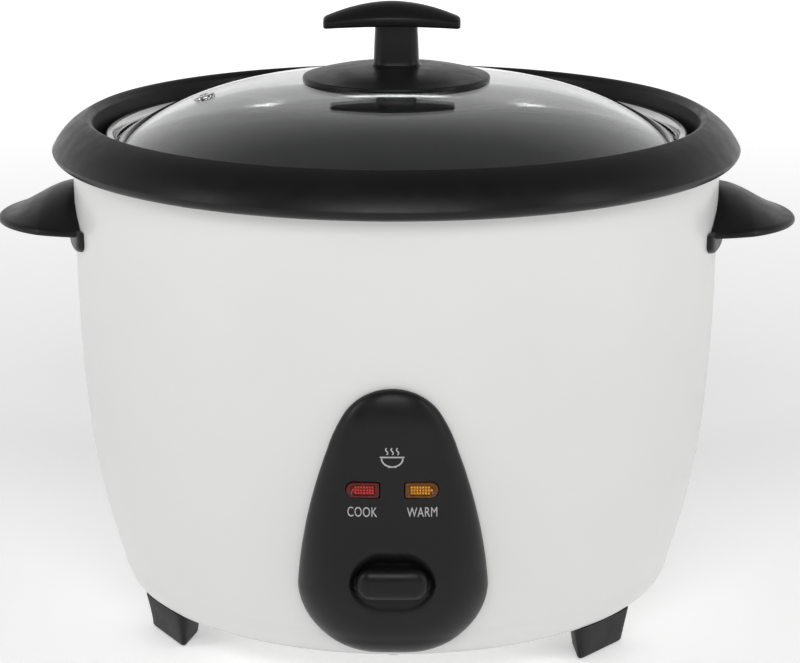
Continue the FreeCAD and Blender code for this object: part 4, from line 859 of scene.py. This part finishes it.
def print_on_panel(name, flat, center):
    """Lays flat print on the panel's face as a thin film; flat is a mesh drawn in the XY plane, in mm."""
    maker = bmesh.new()
    maker.from_mesh(flat)
    bmesh.ops.triangulate(maker, faces=maker.faces)
    for _ in range(2):
        long = [edge for edge in maker.edges if edge.calc_length() > 0.8]
        if long:
            bmesh.ops.subdivide_edges(maker, edges=long, cuts=1)
            bmesh.ops.triangulate(maker, faces=maker.faces)
    edge = Edge(panel_outline())
    for vertex in maker.verts:
        x, z = center[0] + vertex.co.x, center[1] + vertex.co.y
        seat = Vector(panel_face(Vector((x, z)), edge.distance((x, z))))
        vertex.co = (seat + Vector((0, -PRINT_LIFT, 0))) * MM
    top = list(maker.faces)
    result = bmesh.ops.extrude_face_region(maker, geom=top)
    moved = [item for item in result["geom"] if isinstance(item, bmesh.types.BMVert)]
    bmesh.ops.translate(maker, verts=moved, vec=(0, (PRINT_LIFT + 0.02) * MM, 0))
    film = to_object(name, maker, 40)
    place(film, "housing", None, finish=INK)


def word_mesh(word, tall, squeeze):
    """A word in plain sans-serif capitals, tall mm high, centred on the origin."""
    curve = bpy.data.curves.new("word", "FONT")
    curve.body = word
    curve.align_x = "CENTER"
    curve.align_y = "CENTER"
    capital_share = 0.7
    curve.size = tall / capital_share
    curve.space_character = 1.06
    holder = bpy.data.objects.new("word", curve)
    bpy.context.scene.collection.objects.link(holder)
    bpy.context.view_layer.update()
    graph = bpy.context.evaluated_depsgraph_get()
    mesh = bpy.data.meshes.new_from_object(holder.evaluated_get(graph))
    mesh.transform(Matrix.Diagonal((squeeze, 1, 1, 1)))
    bpy.data.objects.remove(holder)
    return mesh


def bowl_mesh():
    """A plain bowl with three wisps of steam, 9 mm wide."""
    maker = bmesh.new()

    def strip(points, width):
        left, right = [], []
        for index, point in enumerate(points):
            run = (points[min(index + 1, len(points) - 1)] - points[max(index - 1, 0)]).normalized()
            side = Vector((-run.y, run.x)) * width / 2
            left.append(maker.verts.new((*(point + side), 0)))
            right.append(maker.verts.new((*(point - side), 0)))
        for index in range(len(points) - 1):
            maker.faces.new((left[index], left[index + 1], right[index + 1], right[index]))

    rim = [Vector((-4.5 + 9 * step / 8, 0.2)) for step in range(9)]
    strip(rim, 0.55)
    half_width, depth, drop = 3.9, 3.2, 0.3
    angles = [math.pi + math.pi * step / 24 for step in range(25)]
    hull = [Vector((half_width * math.cos(angle), depth * math.sin(angle) - drop)) for angle in angles]
    strip(hull, 0.55)
    strip([Vector((-1.6, -3.6)), Vector((0, -3.6)), Vector((1.6, -3.6))], 0.5)
    sway, lowest, rise = 0.42, 1.2, 0.26
    for offset in (-2.0, 0.0, 2.0):
        strip([Vector((offset + sway * math.sin(step * 0.62), lowest + step * rise))
               for step in range(11)], 0.45)
    mesh = bpy.data.meshes.new("bowl")
    maker.to_mesh(mesh)
    maker.free()
    return mesh


def make_prints():
    """The two function words under the lamps and the bowl above them."""
    for word, side in (("COOK", -1), ("WARM", 1)):
        print_on_panel("print_" + word.lower(), word_mesh(word, 3.8, 0.66), (side * (LENS_SIDE + 0.3), 80.5))
    print_on_panel("print_bowl", bowl_mesh(), (0, 102.0))


# ---------------------------------------------------------------- side handles

def make_handle(name, node, turn):
    """A crowned shelf that thins to a low rim, on a flange that hugs the casing."""
    root, root_half, straight, straight_half = 125.5, 41.2, 143.2, 36.6
    reach, nose, side = 164.0, 42.6, 70.0
    base, rim, crest = 162.5, 2.4, 12.6
    plan = trace([(root, -root_half), (straight, -straight_half, side), (straight, straight_half, nose),
                  (root, root_half, side)], closed=False)
    seat = [Vector((math.sqrt(131.85 ** 2 - across * across), across))
            for across in [root_half - 2 * root_half * step / 20 for step in range(1, 20)]]
    outline = resample(plan + seat, 240)
    free_edge = Edge(plan, closed=False)

    def half_width(along):
        if along < straight:
            return root_half + (straight_half - root_half) * (along - root) / (straight - root)
        return math.sqrt(max(nose ** 2 - (along - reach + nose) ** 2, 0.01))

    def top_face(point, edge):
        share = min(max((point.x - 131.5) / (reach - 131.5), 0), 1)
        level = crest * math.cos(share * math.pi / 2) ** 1.7
        across = min(abs(point.y) / half_width(point.x), 1)
        run = 1 - min(edge / 1.5, 1)
        lip = 1.0 + (rim - 1.0) * (1 - run ** 2) ** 0.5
        return (point.x, point.y, base + lip + level * (1 - across ** 2))

    def under_face(point, edge):
        run = 1 - min(edge / 0.8, 1)
        hollow = 1.0 * smooth_step(2.2, 5.0, edge)
        return (point.x, point.y, base + 0.6 * (1 - (1 - run ** 2) ** 0.5) + hollow)

    shelf = pillow(name, outline, (143, 0), top_face, under_face, rings=44, crowd=1.4, edge=free_edge)
    half_angle = math.degrees(math.asin(47.0 / 133))
    tab = resample(rounded_rectangle(half_angle, 4.5, (4.2, 0.6, 0.6, 4.2), (0, 161.0), 8), 160)

    def on_casing(point, radius):
        angle = math.radians(point.x)
        return (radius * math.cos(angle), radius * math.sin(angle), point.y)

    def tab_front(point, edge):
        run = 1 - min(edge / 1.6, 1)
        return on_casing(point, shell_radius(point.y) + 0.6 + 1.9 * (1 - run ** 2) ** 0.5)

    def tab_back(point, edge):
        return on_casing(point, shell_radius(point.y) + PANEL_SEAT_GAP)

    carve(shelf, [pillow("tab", tab, (0, 161.0), tab_front, tab_back, rings=18)], "UNION")
    shelf.data.transform(Matrix.Rotation(math.radians(turn), 4, "Z"))
    shade(shelf, 40)
    place(shelf, "housing", "satin_black", node)


# ---------------------------------------------------------------- feet

def foot_outline(grow):
    """Top view of a foot: long outer side, flanks that close in at 45 degrees, short inner side."""
    diagonal = math.sqrt(2)
    outer, inner = 15.5 + grow * (diagonal + 1), 3.0 + grow * (diagonal - 1)
    front, back = -6.5 - grow, 6.0 + grow
    corners = [Vector(corner) for corner in ((-outer, front), (outer, front), (inner, back), (-inner, back))]
    return resample(soften(corners, 1.6 + grow), 96)


def make_foot(name, node, angle):
    """A block that widens upwards, counterbored from below for its screw."""
    sections = [[(point.x, point.y, level) for point in foot_outline(grow)]
                for level, grow in ((0.0, -0.8), (0.25, -0.3), (0.9, 0.1), (13.4, 2.1), (13.97, 2.15))]
    foot = loft(name, sections)
    bore, shank = 4.6, 2.1
    carve(foot, [loft("bore", [circle(bore, -1), circle(bore, 9)]),
                 loft("shank", [circle(shank, -2), circle(shank, 16)])])
    turn = math.radians(angle)
    spot = Matrix.Translation(Vector((FOOT_REACH * math.cos(turn), FOOT_REACH * math.sin(turn), 0)) * MM)
    foot.data.transform(spot @ Matrix.Rotation(turn + math.pi / 2, 4, "Z"))
    place(foot, "housing", "foot_black", node)


# ---------------------------------------------------------------- carried-over CAD pieces

def finish_cad_nodes(drawn_here):
    """The CAD pieces that stay as they are take the finish of their slot in the record."""
    for part in frame["record"]["subparts"]:
        if part["node"] in drawn_here:
            continue
        for holder in frame["nodes"][part["node"]].material_slots:
            holder.link = "OBJECT"
            holder.material = FINISHES[part["material_slot"]]


# ---------------------------------------------------------------- studio

def area_light(name, location, target, width, height, power):
    """A white soft box aimed at a target."""
    lamp = bpy.data.lights.new(name, "AREA")
    lamp.shape = "RECTANGLE"
    lamp.size, lamp.size_y = width, height
    lamp.energy = power
    holder = bpy.data.objects.new(name, lamp)
    bpy.context.scene.collection.objects.link(holder)
    holder.location = location
    aim = Vector(target) - Vector(location)
    holder.rotation_mode = "QUATERNION"
    holder.rotation_quaternion = aim.to_track_quat("-Z", "Y")


def make_studio():
    """A pale floor, a sky that is brightest at the back, two side boxes and a front box."""
    maker = bmesh.new()
    bmesh.ops.create_circle(maker, cap_ends=True, segments=96, radius=9)
    floor = to_object("studio_floor", maker)
    floor.location.z = -0.0002
    floor.data.materials.append(floor_paint())

    world = bpy.data.worlds.new("studio")
    world.use_nodes = True
    nodes, links = world.node_tree.nodes, world.node_tree.links
    backdrop = nodes["Background"]
    where = nodes.new("ShaderNodeTexCoord")
    split = nodes.new("ShaderNodeSeparateXYZ")
    links.new(where.outputs["Generated"], split.inputs["Vector"])

    def ramp(axis, start, end, low, high):
        """A change from low to high as one direction of the sky goes from start to end."""
        fade = nodes.new("ShaderNodeMapRange")
        links.new(split.outputs[axis], fade.inputs["Value"])
        for socket, number in (("From Min", start), ("From Max", end), ("To Min", low), ("To Max", high)):
            fade.inputs[socket].default_value = number
        return fade.outputs["Result"]

    strength = nodes.new("ShaderNodeMath")
    strength.operation = "MULTIPLY"
    links.new(ramp("Y", -0.6, 0.5, 0.22, 0.9), strength.inputs[0])
    links.new(ramp("Z", 0.1, 0.75, 1.0, 0.28), strength.inputs[1])
    links.new(strength.outputs[0], backdrop.inputs["Strength"])
    backdrop.inputs["Color"].default_value = (1, 1, 1, 1)
    bpy.context.scene.world = world

    side_aim, side_power = (0, 0, 0.12), 4.5
    for name, side in (("left_box", -1), ("right_box", 1)):
        area_light(name, (side * 1.45, -0.6, 0.8), side_aim, 0.28, 1.0, side_power)
    area_light("front_box", (0, -1.7, 1.45), (0, 0, 0.1), 1.5, 0.8, 17)

    view = bpy.context.scene.view_settings
    view.view_transform = "Standard"
    view.look = "None"


def make_camera():
    """A long lens about a metre in front, looking down at the height of the photograph."""
    look_down, look_left = 14.77, 0.58
    camera = bpy.data.cameras.new("camera")
    camera.sensor_width = 36
    camera.lens = 111.24
    camera.clip_start, camera.clip_end = 0.05, 30
    holder = bpy.data.objects.new("camera", camera)
    bpy.context.scene.collection.objects.link(holder)
    holder.location = (0.0116, -0.99995, 0.3773)
    holder.rotation_euler = (math.radians(90 - look_down), 0, math.radians(look_left))
    bpy.context.scene.camera = holder


make_ring()
make_pot()
make_lid()
make_knob()
make_panel()
make_key()
make_lens("cook_lens_moulding", -1, "red_lens", RED_LENS_PAINTED_SHADE, "cook_lens")
make_lens("warm_lens_moulding", 1, "amber_lens", AMBER_LENS_PAINTED_SHADE, "warm_lens")
make_prints()
make_handle("handle_right_moulding", "handle_right", 0)
make_handle("handle_left_moulding", "handle_left", 180)
for foot_node, foot_angle in FOOT_ANGLES.items():
    make_foot(foot_node + "_moulding", foot_node, foot_angle)
finish_cad_nodes(DRAWN_HERE)
make_studio()
make_camera()
